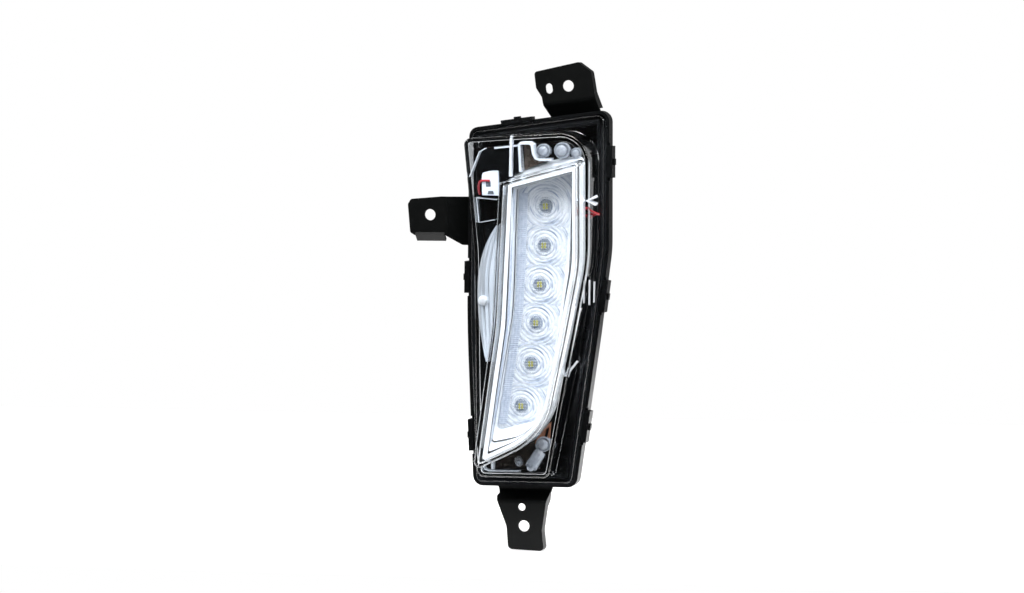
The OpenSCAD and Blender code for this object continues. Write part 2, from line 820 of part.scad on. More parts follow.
function supply_route(side) =
    let (terminal_y = housing_d - tub_t - terminal_back)
    let (start = [socket_at.x + side * terminal_gap / 2, terminal_y - 0.05, socket_at.y])
    let (entry_z = board_entry_z - side * 1.6)
    let (entry = front_point(right_x(window_corners, entry_z) - board_touch, board_y + wire_r + 0.02, entry_z))
    [
        start,
        start + [2, -6, 6],
        [60 + side * wire_gap, 38, 92],
        [72 + side * wire_gap, 30, 128],
        [77 + side * wire_gap, 18, 155],
        [clip_at.x + side * wire_gap, 2.5, clip_at.y - 6],
        [clip_at.x + side * wire_gap, 0.8, clip_at.y + 2],
        [clip_at.x - 0.5 + side * wire_gap, -4, clip_at.y + 4],
        entry + [3.5, 2, 2 - side * 0.4],
        entry
    ];

module red_wire() {
    color("#b3262b") lamp() tube(spline(supply_route(1), wire_steps), wire_r);
}

module black_wire() {
    color("#1c1c1e") lamp() tube(spline(supply_route(-1), wire_steps), wire_r);
}

// A clip that is open to the front, with a bead inside each tip
module wire_clip() {
    grip = 2 * (wire_r + wire_gap) + 0.2;
    tip_y = -2.6;
    channel_back = 3.2;
    bead = 0.4;
    color("#eceeee") lamp() translate([clip_at.x, 0, clip_at.y - clip_l / 2]) difference() {
        translate([-clip_w / 2, tip_y, 0]) cube([clip_w, clip_shelf_y - tip_y, clip_l]);
        translate([-grip / 2, tip_y + 1, -1]) cube([grip, channel_back - tip_y - 1, clip_l + 2]);
        translate([-grip / 2 + bead, tip_y - 1, -1]) cube([grip - 2 * bead, 3, clip_l + 2]);
    }
}

module socket_terminals() {
    color("#c9a54c") lamp() for (side = [-1, 1]) {
        terminal(side, housing_d - tub_t - terminal_back, tub_t + terminal_back + terminal_out);
    }
}

module breather_cap() {
    color("#2b2d30") lamp() difference() {
        union() {
            rod(breather_at.x, breather_at.y, breather_r, housing_d, 7.5, 48);
            rod(breather_at.x, breather_at.y, breather_r + 0.8, housing_d, 1.5, 48);
        }
        rod(breather_at.x, breather_at.y, breather_r - 1.8, housing_d - 1, 7, 48);
        for (a = [0:45:135]) {
            translate([breather_at.x, housing_d + 7.5, breather_at.y]) rotate([0, a, 0])
                cube([2 * breather_r + 1, 1, 0.8], center = true);
        }
    }
}

// Steel brackets, each a sheet bent along a path of depth and height and cut to a front outline

function offset_path(path, d) =
    let (last = len(path) - 1)
    let (side = [for (i = [0:last - 1]) across(unit(path[i + 1] - path[i]))])
    [for (i = [0:last])
        i == 0 ? path[0] + d * side[0]
        : i == last ? path[last] + d * side[last - 1]
        : moved_corner(path[i], side[i - 1], side[i], d, d)];

function bent_path(path, grow) =
    let (last = len(path) - 1)
    [path[0], for (i = [1:last - 1])
        let (side = sign(turn(path[i] - path[i - 1], path[i + 1] - path[i])))
        each arc(path[i - 1], path[i], path[i + 1], max(bend_r + side * grow, 0), 5), path[last]];

function reversed(list) = [for (i = [len(list) - 1:-1:0]) list[i]];

// The outline of a bent band between two depths behind the sheet's front
function band(path, from, to) = concat(
    bent_path(offset_path(path, -from), from - sheet_t / 2),
    reversed(bent_path(offset_path(path, -to), to - sheet_t / 2))
);

function rounded_polygon(c, radii) =
    let (n = len(c))
    [for (i = [0:n - 1]) each arc(c[(i + n - 1) % n], c[i], c[(i + 1) % n], radii[i], 5)];

module bent_solid(path, from, to) {
    translate([-60, 0, 0]) rotate([90, 0, 90]) linear_extrude(120) polygon(band(path, from, to));
}

module bent_sheet(path, shape) {
    intersection() {
        bent_solid(path, 0, sheet_t);
        slab(-5, foot_back + 10) polygon(shape);
    }
}

// A flange along one side of the sheet, folded back square
module side_flange(path, shape, side) {
    intersection() {
        bent_solid(path, sheet_t / 2, flange_d);
        slab(-5, foot_back + 10) difference() {
            polygon(shape);
            translate([-side * sheet_t, 0]) polygon(shape);
            translate([-side * 60 - 60 + side * 4, -60]) square([120, 120]);
            translate([-60, -120]) square([120, 120 + flange_start]);
        }
    }
}

module foot_screw_holes() {
    for (side = [-1, 1]) {
        translate([side * foot_screw_gap / 2, foot_screw_y, -foot_drop - 1])
            cylinder(r = bracket_screw_r + 0.2, h = sheet_t + 2, $fn = 24);
    }
}

flange_start = 2;
upper_path = [[foot_back, -foot_drop], [foot_start, -foot_drop], [plate_y, 8.4], [plate_y, 34]];
upper_shape = rounded_polygon(
    [[-11, -7], [18.8, -7], [17.8, 25.2], [10.5, 32.2],
        [-18.6, 29.8], [-18.7, 19.6], [-15.8, 13.5], [-15.5, 8]],
    [0, 0, 2, 1.5, 2, 1, 1, 2]
);
slot_at = upper_hole_at + [-12.4, 0];

module upper_bracket() {
    color("#1b1c1e") lamp() difference() {
        on_upper_edge() difference() {
            union() {
                bent_sheet(upper_path, upper_shape);
                side_flange([upper_path[1], upper_path[2], upper_path[3]], upper_shape, 1);
            }
            foot_screw_holes();
            slab(plate_y - 1, sheet_t + 2) hull() for (side = [-1, 1]) {
                translate(slot_at + [0, side * (slot_l - slot_w) / 2]) circle(r = slot_w / 2, $fn = 24);
            }
        }
        rod(upper_hole.x, upper_hole.y, fix_hole_r, plate_y - 1, sheet_t + 2, 48);
    }
}

left_path = [[foot_back, -foot_drop], [foot_start, -foot_drop], [plate_y, 17], [plate_y, 44]];
left_shape = rounded_polygon(
    [[-19, -7], [12, -7], [12.4, 21], [10.8, 40.5], [7.5, 42.5],
        [-10.5, 41], [-12.5, 37.6], [-11.5, 19], [-18.5, 8]],
    [0, 0, 4, 2, 2, 2, 2, 6, 3]
);
left_hole_at = [0.8, 28];
left_edge_x = -10.6;
flange_splay = 38;

module left_bracket() {
    flange_l = 19;
    color("#1b1c1e") lamp() on_left_edge() difference() {
        union() {
            bent_sheet(left_path, left_shape);
            translate([left_edge_x + 0.5, plate_y + 0.2, left_hole_at.y - flange_l / 2])
                rotate([0, 0, flange_splay]) translate([-sheet_t, 0, 0])
                    cube([sheet_t, flange_d - 2, flange_l]);
        }
        foot_screw_holes();
        rod(left_hole_at.x, left_hole_at.y, fix_hole_r, plate_y - 1, sheet_t + 2, 48);
    }
}

lower_path = [[foot_back, -foot_drop], [20, -foot_drop], [20, 4], [plate_y, 10], [plate_y, 44]];
lower_shape = rounded_polygon(
    [[-17.5, -7], [18.9, -7], [18.9, 1], [17.1, 6], [18.2, 7.3], [17.7, 10],
        [11.3, 26.7], [10.2, 41.2], [-13, 42.2], [-11.7, 29.3], [-14.3, 11.8], [-17, 1.7]],
    [0, 0, 2, 0.6, 0.6, 2, 8, 3, 2.5, 8, 10, 4]
);
lower_hole_at = [0, 26.4];
small_hole_at = [1.4, 14.4];

module lower_bracket() {
    color("#1b1c1e") lamp() on_lower_edge() difference() {
        union() {
            bent_sheet(lower_path, lower_shape);
            side_flange([lower_path[2], lower_path[3], lower_path[4]], lower_shape, -1);
        }
        foot_screw_holes();
        rod(lower_hole_at.x, lower_hole_at.y, fix_hole_r, plate_y - 1, sheet_t + 2, 48);
        rod(small_hole_at.x, small_hole_at.y, locate_hole_r, plate_y - 1, sheet_t + 2, 48);
    }
}

module foot_screws() {
    for (side = [-1, 1]) {
        translate([side * foot_screw_gap / 2, foot_screw_y, -foot_drop + sheet_t])
            screw(bracket_screw_r, sheet_t + foot_screw_l, 3.4, 2.2);
    }
}

module bracket_screws() {
    color("#a9adb2") lamp() {
        on_upper_edge() foot_screws();
        on_left_edge() foot_screws();
        on_lower_edge() foot_screws();
    }
}

rear_housing();
lens_sealant();
outer_lens();
front_bezel();
inner_optic();
optic_screws();
carrier_plate();
carrier_screws();
circuit_board();
led_packages();
driver_parts();
thermal_pad();
heat_sink();
board_screws();
side_panel();
side_reflector();
reflector_screw();
wire_plug();
wire_clip();
red_wire();
black_wire();
socket_terminals();
breather_cap();
upper_bracket();
left_bracket();
lower_bracket();
bracket_screws();
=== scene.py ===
"""Daytime running light: finishes for its moulded, metallised and pressed pieces, and its finer clear forms."""
from __future__ import annotations

import logging
import math
from collections.abc import Callable
from dataclasses import dataclass, field
from enum import Enum
import bmesh
import bpy
import numpy as np
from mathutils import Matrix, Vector


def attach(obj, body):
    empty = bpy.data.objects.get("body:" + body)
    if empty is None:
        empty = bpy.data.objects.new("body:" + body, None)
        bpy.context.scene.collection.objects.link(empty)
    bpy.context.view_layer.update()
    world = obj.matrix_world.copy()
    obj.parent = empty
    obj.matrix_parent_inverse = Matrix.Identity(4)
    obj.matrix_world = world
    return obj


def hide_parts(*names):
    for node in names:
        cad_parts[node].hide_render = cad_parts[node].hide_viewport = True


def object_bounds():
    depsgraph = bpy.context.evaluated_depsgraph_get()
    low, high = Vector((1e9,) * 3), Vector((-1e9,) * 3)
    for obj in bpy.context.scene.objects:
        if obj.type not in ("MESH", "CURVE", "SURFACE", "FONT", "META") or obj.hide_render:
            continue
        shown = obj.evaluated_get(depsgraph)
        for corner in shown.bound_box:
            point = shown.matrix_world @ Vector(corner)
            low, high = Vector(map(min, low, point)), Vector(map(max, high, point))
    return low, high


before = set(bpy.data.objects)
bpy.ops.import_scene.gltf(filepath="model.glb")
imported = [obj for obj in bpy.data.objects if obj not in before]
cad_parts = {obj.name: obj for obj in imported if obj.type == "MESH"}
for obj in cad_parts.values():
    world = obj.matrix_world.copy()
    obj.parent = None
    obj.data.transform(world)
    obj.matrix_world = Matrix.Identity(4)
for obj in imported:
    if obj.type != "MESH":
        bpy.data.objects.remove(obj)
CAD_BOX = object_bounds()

log = logging.getLogger("running_light")

MM = 0.001
POLAR_MM = 25.0  # radius that fills the optic's UV map
CHAMFER_MM = 0.25  # front edge of a moulded block
MERGE_M = 1e-7  # points closer than this are one
SHARP_DEG = 32.0  # angle past which an edge stays sharp
FIELD_SHARP_DEG = 60.0  # the same, on a field of depths
SIDES = 7  # corners of every outline of the lamp
Flat = np.ndarray  # points of a plane outline, in mm: x to the right and s along the height
Ring = np.ndarray  # points in space, in the row frame, in metres


# ---------------------------------------------------------------- nodes and colours


def linear(hex_color: str, alpha: float = 1.0) -> tuple[float, float, float, float]:
    """Turns an sRGB hex value into a linear colour.

    Args:
        hex_color: Six hex digits.
        alpha: The fourth component.

    Returns:
        Red, green, blue and alpha.
    """
    parts = [int(hex_color[i:i + 2], 16) / 255 for i in (0, 2, 4)]
    red, green, blue = (c / 12.92 if c <= 0.04045 else ((c + 0.055) / 1.055) ** 2.4 for c in parts)
    return red, green, blue, alpha


def add(tree: bpy.types.NodeTree, kind: str, inputs: dict | None = None, **settings: object) -> bpy.types.Node:
    """Adds a node with its settings, values and links.

    Args:
        tree: The node tree.
        kind: The node's type.
        inputs: Input names or numbers with a value, or with the socket that feeds them.
        **settings: Properties of the node.

    Returns:
        The new node.
    """
    node = tree.nodes.new(kind)
    for name, value in settings.items():
        setattr(node, name, value)
    for name, value in (inputs or {}).items():
        if isinstance(value, bpy.types.NodeSocket):
            tree.links.new(value, node.inputs[name])
        else:
            node.inputs[name].default_value = value
    return node


# ---------------------------------------------------------------- finishes


@dataclass(frozen=True)
class Finish:
    """An opaque surface: one material with a mottled tone, a worn roughness and a grain."""

    name: str
    color: str
    roughness: float
    tone: str = ""
    metallic: float = 0.0
    specular: float = 0.5
    coat: float = 0.0
    grain_mm: float = 0.5
    grain_depth_mm: float = 0.02
    mottle_mm: float = 12.0
    roughness_spread: float = 0.08
    transmission: float = 0.0

    def material(self) -> bpy.types.Material:
        """Builds the node tree.

        Returns:
            The material.
        """
        made = bpy.data.materials.new(self.name)
        made.use_nodes = True
        tree = made.node_tree
        shader = tree.nodes["Principled BSDF"]
        shader.inputs["Metallic"].default_value = self.metallic
        shader.inputs["Specular IOR Level"].default_value = self.specular
        shader.inputs["Coat Weight"].default_value = self.coat
        shader.inputs["Transmission Weight"].default_value = self.transmission
        place = add(tree, "ShaderNodeTexCoord").outputs["Object"]
        self.color_nodes(tree, shader, place)
        self.roughness_nodes(tree, shader, place)
        self.bump_nodes(tree, shader, place)
        return made

    def color_nodes(self, tree: bpy.types.NodeTree, shader: bpy.types.Node, place: bpy.types.NodeSocket) -> None:
        """Mottles the colour between the two tones.

        Args:
            tree: The material's node tree.
            shader: Its shader.
            place: The socket of the object's coordinates.
        """
        noise = add(tree, "ShaderNodeTexNoise", {"Vector": place, "Scale": 1 / (self.mottle_mm * MM), "Detail": 4.0})
        blend = add(tree, "ShaderNodeMix", {
            0: noise.outputs["Fac"], 6: linear(self.color), 7: linear(self.tone or self.color)}, data_type="RGBA")
        tree.links.new(blend.outputs[2], shader.inputs["Base Color"])

    def roughness_nodes(self, tree: bpy.types.NodeTree, shader: bpy.types.Node, place: bpy.types.NodeSocket) -> None:
        """Spreads the roughness about its value, as handling and moulding do.

        Args:
            tree: The material's node tree.
            shader: Its shader.
            place: The socket of the object's coordinates.
        """
        noise = add(tree, "ShaderNodeTexNoise", {"Vector": place, "Scale": 2.7 / (self.mottle_mm * MM), "Detail": 3.0})
        spread = add(tree, "ShaderNodeMapRange", {
            "Value": noise.outputs["Fac"],
            "To Min": max(self.roughness - self.roughness_spread, 0.01),
            "To Max": self.roughness + self.roughness_spread,
        })
        tree.links.new(spread.outputs["Result"], shader.inputs["Roughness"])

    def bump_nodes(self, tree: bpy.types.NodeTree, shader: bpy.types.Node, place: bpy.types.NodeSocket) -> None:
        """Raises the grain.

        Args:
            tree: The material's node tree.
            shader: Its shader.
            place: The socket of the object's coordinates.
        """
        grain = add(tree, "ShaderNodeTexNoise", {"Vector": place, "Scale": 1 / (self.grain_mm * MM), "Detail": 2.0})
        bump = add(tree, "ShaderNodeBump", {
            "Height": grain.outputs["Fac"], "Strength": 0.6, "Distance": self.grain_depth_mm * MM})
        tree.links.new(bump.outputs["Normal"], shader.inputs["Normal"])


@dataclass(frozen=True)
class DrawnFinish(Finish):
    """A metal with fine parallel lines, as extruded or brushed stock has."""

    lines_along: tuple[float, float, float] = (1.0, 1.0, 0.03)

    def bump_nodes(self, tree: bpy.types.NodeTree, shader: bpy.types.Node, place: bpy.types.NodeSocket) -> None:
        """Draws the grain out along the lines.

        Args:
            tree: The material's node tree.
            shader: Its shader.
            place: The socket of the object's coordinates.
        """
        turned = add(tree, "ShaderNodeMapping", {"Vector": place, "Scale": self.lines_along})
        grain = add(tree, "ShaderNodeTexNoise", {
            "Vector": turned.outputs["Vector"], "Scale": 1 / (self.grain_mm * MM), "Detail": 3.0})
        bump = add(tree, "ShaderNodeBump", {
            "Height": grain.outputs["Fac"], "Strength": 0.5, "Distance": self.grain_depth_mm * MM})
        tree.links.new(bump.outputs["Normal"], shader.inputs["Normal"])


@dataclass(frozen=True)
class RingShadeFinish(Finish):
    """A surface with painted shade: its tone darkens in broken arcs, by a UV map of radius and bearing about the
    nearest emitter.
    """

    arc_mm: float = 1.15
    arcs_in_a_turn: float = 5.0

    def color_nodes(self, tree: bpy.types.NodeTree, shader: bpy.types.Node, place: bpy.types.NodeSocket) -> None:
        """Paints shade into the tone, in arcs between the two colours.

        Args:
            tree: The material's node tree.
            shader: Its shader.
            place: The socket of the object's coordinates; not used.
        """
        polar = add(tree, "ShaderNodeSeparateXYZ", {"Vector": add(tree, "ShaderNodeTexCoord").outputs["UV"]})
        radius = add(tree, "ShaderNodeMath", {0: polar.outputs["X"], 1: POLAR_MM / self.arc_mm}, operation="MULTIPLY")
        turn = add(tree, "ShaderNodeMath", {0: polar.outputs["Y"], 1: self.arcs_in_a_turn}, operation="MULTIPLY")
        spot = add(tree, "ShaderNodeCombineXYZ", {"X": radius.outputs[0], "Y": turn.outputs[0]})
        # Painted shade: the darker tone falls in arcs about each emitter
        arcs = add(tree, "ShaderNodeTexNoise", {
            "Vector": spot.outputs["Vector"], "Scale": 1.0, "Detail": 3.0, "Roughness": 0.6})
        sharp = add(tree, "ShaderNodeMapRange", {"Value": arcs.outputs["Fac"], "From Min": 0.47, "From Max": 0.68})
        blend = add(tree, "ShaderNodeMix", {
            0: sharp.outputs["Result"], 6: linear(self.color), 7: linear(self.tone)}, data_type="RGBA")
        tree.links.new(blend.outputs[2], shader.inputs["Base Color"])


@dataclass(frozen=True)
class ClearFinish:
    """A clear moulded plastic that lets the lamps through, with a slight waviness from the mould."""

    name: str
    color: str
    ior: float
    roughness: float = 0.01
    wave_mm: float = 9.0
    wave_depth_mm: float = 0.02

    def material(self) -> bpy.types.Material:
        """Builds the node tree.

        Returns:
            The material.
        """
        made = bpy.data.materials.new(self.name)
        made.use_nodes = True
        tree = made.node_tree
        shader = tree.nodes["Principled BSDF"]
        shader.inputs["Base Color"].default_value = linear(self.color)
        shader.inputs["Roughness"].default_value = self.roughness
        shader.inputs["IOR"].default_value = self.ior
        shader.inputs["Transmission Weight"].default_value = 1.0
        place = add(tree, "ShaderNodeTexCoord").outputs["Object"]
        wave = add(tree, "ShaderNodeTexNoise", {"Vector": place, "Scale": 1 / (self.wave_mm * MM), "Detail": 1.0})
        bump = add(tree, "ShaderNodeBump", {
            "Height": wave.outputs["Fac"], "Strength": 0.5, "Distance": self.wave_depth_mm * MM})
        tree.links.new(bump.outputs["Normal"], shader.inputs["Normal"])
        passing = add(tree, "ShaderNodeBsdfTransparent", {"Color": linear(self.color)})
        ray = add(tree, "ShaderNodeLightPath")
        either = add(tree, "ShaderNodeMixShader", {
            0: ray.outputs["Is Shadow Ray"], 1: shader.outputs["BSDF"], 2: passing.outputs["BSDF"]})
        tree.links.new(either.outputs["Shader"], tree.nodes["Material Output"].inputs["Surface"])
        return made


class Surface(Enum):
    """Every finish of the lamp, by the piece's real material and how its surface was made."""

    # Injection-moulded talc-filled polypropylene: near black, a soft sheen and a fine spark-eroded grain
    HOUSING = Finish("moulded_black_polypropylene", "060708", 0.3, "0a0b0c", specular=0.2, grain_mm=0.45,
                     grain_depth_mm=0.02)
    # Dispensed butyl bead: dark, dull and slightly lumpy
    SEALANT = Finish("dispensed_grey_butyl", "1c1d1f", 0.6, "27292b", grain_mm=1.6, grain_depth_mm=0.12)
    # Polished-mould polycarbonate with a hard coat: clear, with bright edges
    LENS = ClearFinish("hard_coated_clear_polycarbonate", "f7fafd", 1.586)
    # Polished acrylic over white: a cold white body with sharp small lights on its pillows, and blue-grey arcs of
    # painted shade for the ring relief
    OPTIC = RingShadeFinish("moulded_pillowed_acrylic", "fafcff", 0.1, "9eaac2", coat=0.4, grain_mm=1.1,
                         grain_depth_mm=0.05, mottle_mm=5.0, roughness_spread=0.04, transmission=0.15)
    # The strip and the band beside the rings: fine flutes over blue-grey
    FLUTES = Finish("fluted_acrylic", "eff3fa", 0.12, "a2aec4", coat=0.4, grain_mm=0.9, grain_depth_mm=0.08,
                    mottle_mm=2.2, transmission=0.1)
    # Clear moulded bosses: glassy, painted near-white as painted light in place of the room's light they gather,
    # mottled at random with grey
    BOSS = Finish("clear_moulded_boss_painted_light", "eceff4", 0.05, "7f8898", coat=0.8, grain_mm=2.0, grain_depth_mm=0.22,
                  mottle_mm=2.4, transmission=0.6)
    # The clear centres before the emitters
    OPTIC_CENTRE = ClearFinish("moulded_clear_acrylic", "c3cad6", 1.49, roughness=0.02, wave_depth_mm=0.004)
    # Fire-polished edges and bosses of polycarbonate, painted near-white: painted highlight in place of the room's
    # light that they gather
    EDGE = Finish("polycarbonate_edge_painted_highlight", "f4f6f9", 0.12, "dfe4ea", coat=0.5, grain_mm=2.0, grain_depth_mm=0.02,
                  mottle_mm=4.0, transmission=0.35)
    # Vacuum-metallised polycarbonate under a satin lacquer: its near-white diffuse colour is painted reflection of the
    # white room in place of the mirror coat, with soft long reflections
    BEZEL = Finish("satin_metallised_polycarbonate", "f7f8f9", 0.22, "f2f4f6", metallic=0.08, coat=0.3, grain_mm=6.0,
                   grain_depth_mm=0.015, mottle_mm=30)
    # Painted shade: dark lines on the slope where the gaps between the bezel's shells lie in shade
    GAP = Finish("bezel_gap_painted_shade", "1d1511", 0.5, "150f0c", grain_mm=0.6, grain_depth_mm=0.01)
    # Tinted mirror coat on the plate round the bezel's ends
    TINT = Finish("bronze_metallised_plate", "5b5047", 0.28, "4a4038", metallic=0.35, grain_mm=5.0, grain_depth_mm=0.01)
    DARK_TINT = Finish("smoked_metallised_plate", "1d1712", 0.25, "261e17", metallic=0.3, grain_mm=5.0,
                       grain_depth_mm=0.01)
    COPPER = Finish("copper_toned_metallising", "b27a5c", 0.3, "8f5f47", metallic=0.5, grain_mm=4.0,
                    grain_depth_mm=0.02, mottle_mm=6)
    # Dark-chrome metallised plate: mirrors its neighbours in a brown black
    CARRIER = Finish("dark_metallised_plate", "0f0d0c", 0.16, "15110f", metallic=0.6, grain_mm=8.0,
                     grain_depth_mm=0.01, roughness_spread=0.03)
    # White solder resist over copper: a faint orange peel
    BOARD = Finish("white_solder_resist", "e9ebe8", 0.35, "dfe2df", grain_mm=0.8, grain_depth_mm=0.01)
    # White polycarbonate reflector tray with a high-reflectance pigment
    TRAY = Finish("white_reflector_moulding", "f2f4f6", 0.3, "e8ebee", grain_mm=1.2, grain_depth_mm=0.008)
    # Yellow phosphor in silicone, cast over each die
    EMITTER = Finish("cast_phosphor_silicone", "c9c56a", 0.3, "a8a050", grain_mm=0.3, grain_depth_mm=0.02,
                     mottle_mm=1.0)
    # Transfer-moulded epoxy
    CHIP = Finish("moulded_epoxy", "141517", 0.5, "1b1c1f", grain_mm=0.2, grain_depth_mm=0.01)
    # Filled silicone gap pad
    PAD = Finish("filled_silicone_pad", "8d9298", 0.7, "7d8288", grain_mm=0.5, grain_depth_mm=0.03)
    # Extruded aluminium with die lines along the height
    SINK = DrawnFinish("extruded_aluminium", "c3c6ca", 0.34, "b6babf", metallic=1.0, grain_mm=0.4, grain_depth_mm=0.02)
    # Zinc-plated steel, cold headed
    SCREW = Finish("zinc_plated_steel", "c2c4c6", 0.28, "a9abad", metallic=1.0, grain_mm=0.3, grain_depth_mm=0.01,
                   mottle_mm=2)
    # High-gloss black moulding
    PANEL = Finish("gloss_black_moulding", "08090a", 0.16, "0c0d0e", specular=0.4, grain_mm=3.0, grain_depth_mm=0.01)
    # Vacuum-metallised moulding: a part-metallic mirror whose white diffuse share is painted reflection of the white
    # room
    MIRROR = Finish("bright_metallised_moulding", "f3f5f8", 0.12, "e2e6ec", metallic=0.6, grain_mm=5.0,
                    grain_depth_mm=0.01, roughness_spread=0.03)
    # White polyamide, moulded
    PLUG = Finish("moulded_white_polyamide", "dfe3ea", 0.4, "d3d8e1", grain_mm=0.6, grain_depth_mm=0.015)
    # Shaded mouths of the plug
    MOUTH = Finish("shaded_polyamide_mouth", "3f463a", 0.5, "596074", grain_mm=0.5, grain_depth_mm=0.02, mottle_mm=1.5)
    # Black-oxide steel
    DARK_SCREW = Finish("black_oxide_steel", "161718", 0.35, "1d1e20", metallic=0.8, grain_mm=0.3, grain_depth_mm=0.01,
                        mottle_mm=2)
    # Red and black PVC insulation, extruded
    RED_WIRE = Finish("extruded_red_insulation", "b3202a", 0.36, "9d1a24", grain_mm=0.7, grain_depth_mm=0.01,
                      mottle_mm=4)
    BLACK_WIRE = Finish("extruded_black_insulation", "151517", 0.4, "1c1c1f", grain_mm=0.7, grain_depth_mm=0.01,
                        mottle_mm=4)
    # Tinned brass blades
    TERMINAL = Finish("tinned_brass", "c9b27a", 0.3, "b89f66", metallic=1.0, grain_mm=0.4, grain_depth_mm=0.01,
                      mottle_mm=3)
    # Moulded elastomer cap
    CAP = Finish("moulded_elastomer", "1b1c1e", 0.6, "232426", grain_mm=0.4, grain_depth_mm=0.02)
    # Pressed steel with cathodic dip paint: black, a low sheen and a slight orange peel
    BRACKET = Finish("dip_painted_pressed_steel", "060707", 0.36, "0a0b0b", specular=0.15, grain_mm=0.9,
                     grain_depth_mm=0.02)


MADE: dict[Surface, bpy.types.Material] = {}


def finish_of(surface: Surface) -> bpy.types.Material:
    """Returns the surface's material, built on first use."""
    if surface not in MADE:
        MADE[surface] = surface.value.material()
    return MADE[surface]


def dress(piece: bpy.types.Object, surface: Surface) -> None:
    """Gives every slot of a piece one surface.

    Args:
        piece: The piece.
        surface: Its finish.
    """
    made = finish_of(surface)
    if not piece.data.materials:
        piece.data.materials.append(made)
    for i in range(len(piece.data.materials)):
        piece.data.materials[i] = made


# ---------------------------------------------------------------- plane geometry


def unit(v: np.ndarray) -> np.ndarray:
    """Returns a vector of length one."""
    return v / np.linalg.norm(v)


def across(v: np.ndarray) -> np.ndarray:
    """Returns the vector turned a quarter to the left."""
    return np.array([-v[1], v[0]])


def arc(p: np.ndarray, q: np.ndarray, r: np.ndarray, radius: float, steps: int) -> list[np.ndarray]:
    """Rounds the corner q between p and r.

    Args:
        p: The corner before.
        q: The corner.
        r: The corner after.
        radius: Radius of the arc.
        steps: Number of its steps.

    Returns:
        The arc's points.
    """
    u, v = unit(q - p), unit(r - q)
    angle = math.atan2(u[0] * v[1] - u[1] * v[0], float(u @ v))
    start = q - u * radius * math.tan(abs(angle) / 2)
    middle = start + math.copysign(radius, angle) * across(u)
    out = []
    for j in range(steps + 1):
        a = angle * j / steps
        d = start - middle
        c, s = math.cos(a), math.sin(a)
        out.append(middle + np.array([d[0] * c - d[1] * s, d[0] * s + d[1] * c]))
    return out


@dataclass(frozen=True)
class RoundedOutline:
    """A closed outline of seven corners, each with its radius."""

    corners: tuple[tuple[float, float], ...]
    radii: tuple[float, ...]

    def moved_in(self, insets: tuple[float, ...]) -> np.ndarray:
        """Moves every edge inwards.

        Args:
            insets: One distance for each edge, in mm.

        Returns:
            The new corners.
        """
        c, n, out = np.array(self.corners), len(self.corners), []
        for i in range(n):
            p, q, r = c[i - 1], c[i], c[(i + 1) % n]
            n1, n2, d1, d2 = across(unit(q - p)), across(unit(r - q)), insets[i - 1], insets[i]
            k = float(n1 @ n2)
            if abs(d1 - d2) < 0.01:
                out.append(q + d1 * (n1 + n2) / (1 + k))
            else:
                out.append(q + ((d1 - k * d2) * n1 + (d2 - k * d1) * n2) / (1 - k * k))
        return np.array(out)

    def at(self, inset: float | tuple[float, float, float, float] = 0.0, steps: int = 12) -> Flat:
        """Draws the outline.

        Args:
            inset: One distance, or those of the bottom, right, top and left side, in mm.
            steps: Steps of each rounded corner.

        Returns:
            Its points.
        """
        d = (inset,) * 4 if isinstance(inset, (int, float)) else inset
        c = self.moved_in((d[0], d[1], d[1], d[1], d[2], d[3], d[3]))
        shrink, out = min(d), []
        for i in range(SIDES):
            p, q, r = c[i - 1], c[i], c[(i + 1) % SIDES]
            u, v = q - p, r - q
            side = math.copysign(1.0, u[0] * v[1] - u[1] * v[0])
            out += arc(p, q, r, max(self.radii[i] - side * shrink, 0.5), steps)
        return np.array(out)

    def stepped(self, steps: tuple[tuple[float, float], ...], radii: tuple[float, ...]) -> RoundedOutline:
        """Returns the outline whose corners lie at these steps from this one's."""
        return RoundedOutline(tuple((c[0] + s[0], c[1] + s[1]) for c, s in zip(self.corners, steps)), radii)

    def span(self, s: float, inset: float = 0.0) -> tuple[float, float]:
        """Measures the outline across at one height.

        Args:
            s: The height, in mm.
            inset: Inset of the outline.

        Returns:
            The lowest and highest x, in mm.
        """
        points = self.at(inset)
        ahead = np.roll(points, -1, axis=0)
        found = [p[0] + (q[0] - p[0]) * (s - p[1]) / (q[1] - p[1])
                 for p, q in zip(points, ahead) if (p[1] - s) * (q[1] - s) <= 0 and p[1] != q[1]]
        return min(found), max(found)


# ---------------------------------------------------------------- the lamp's own frame


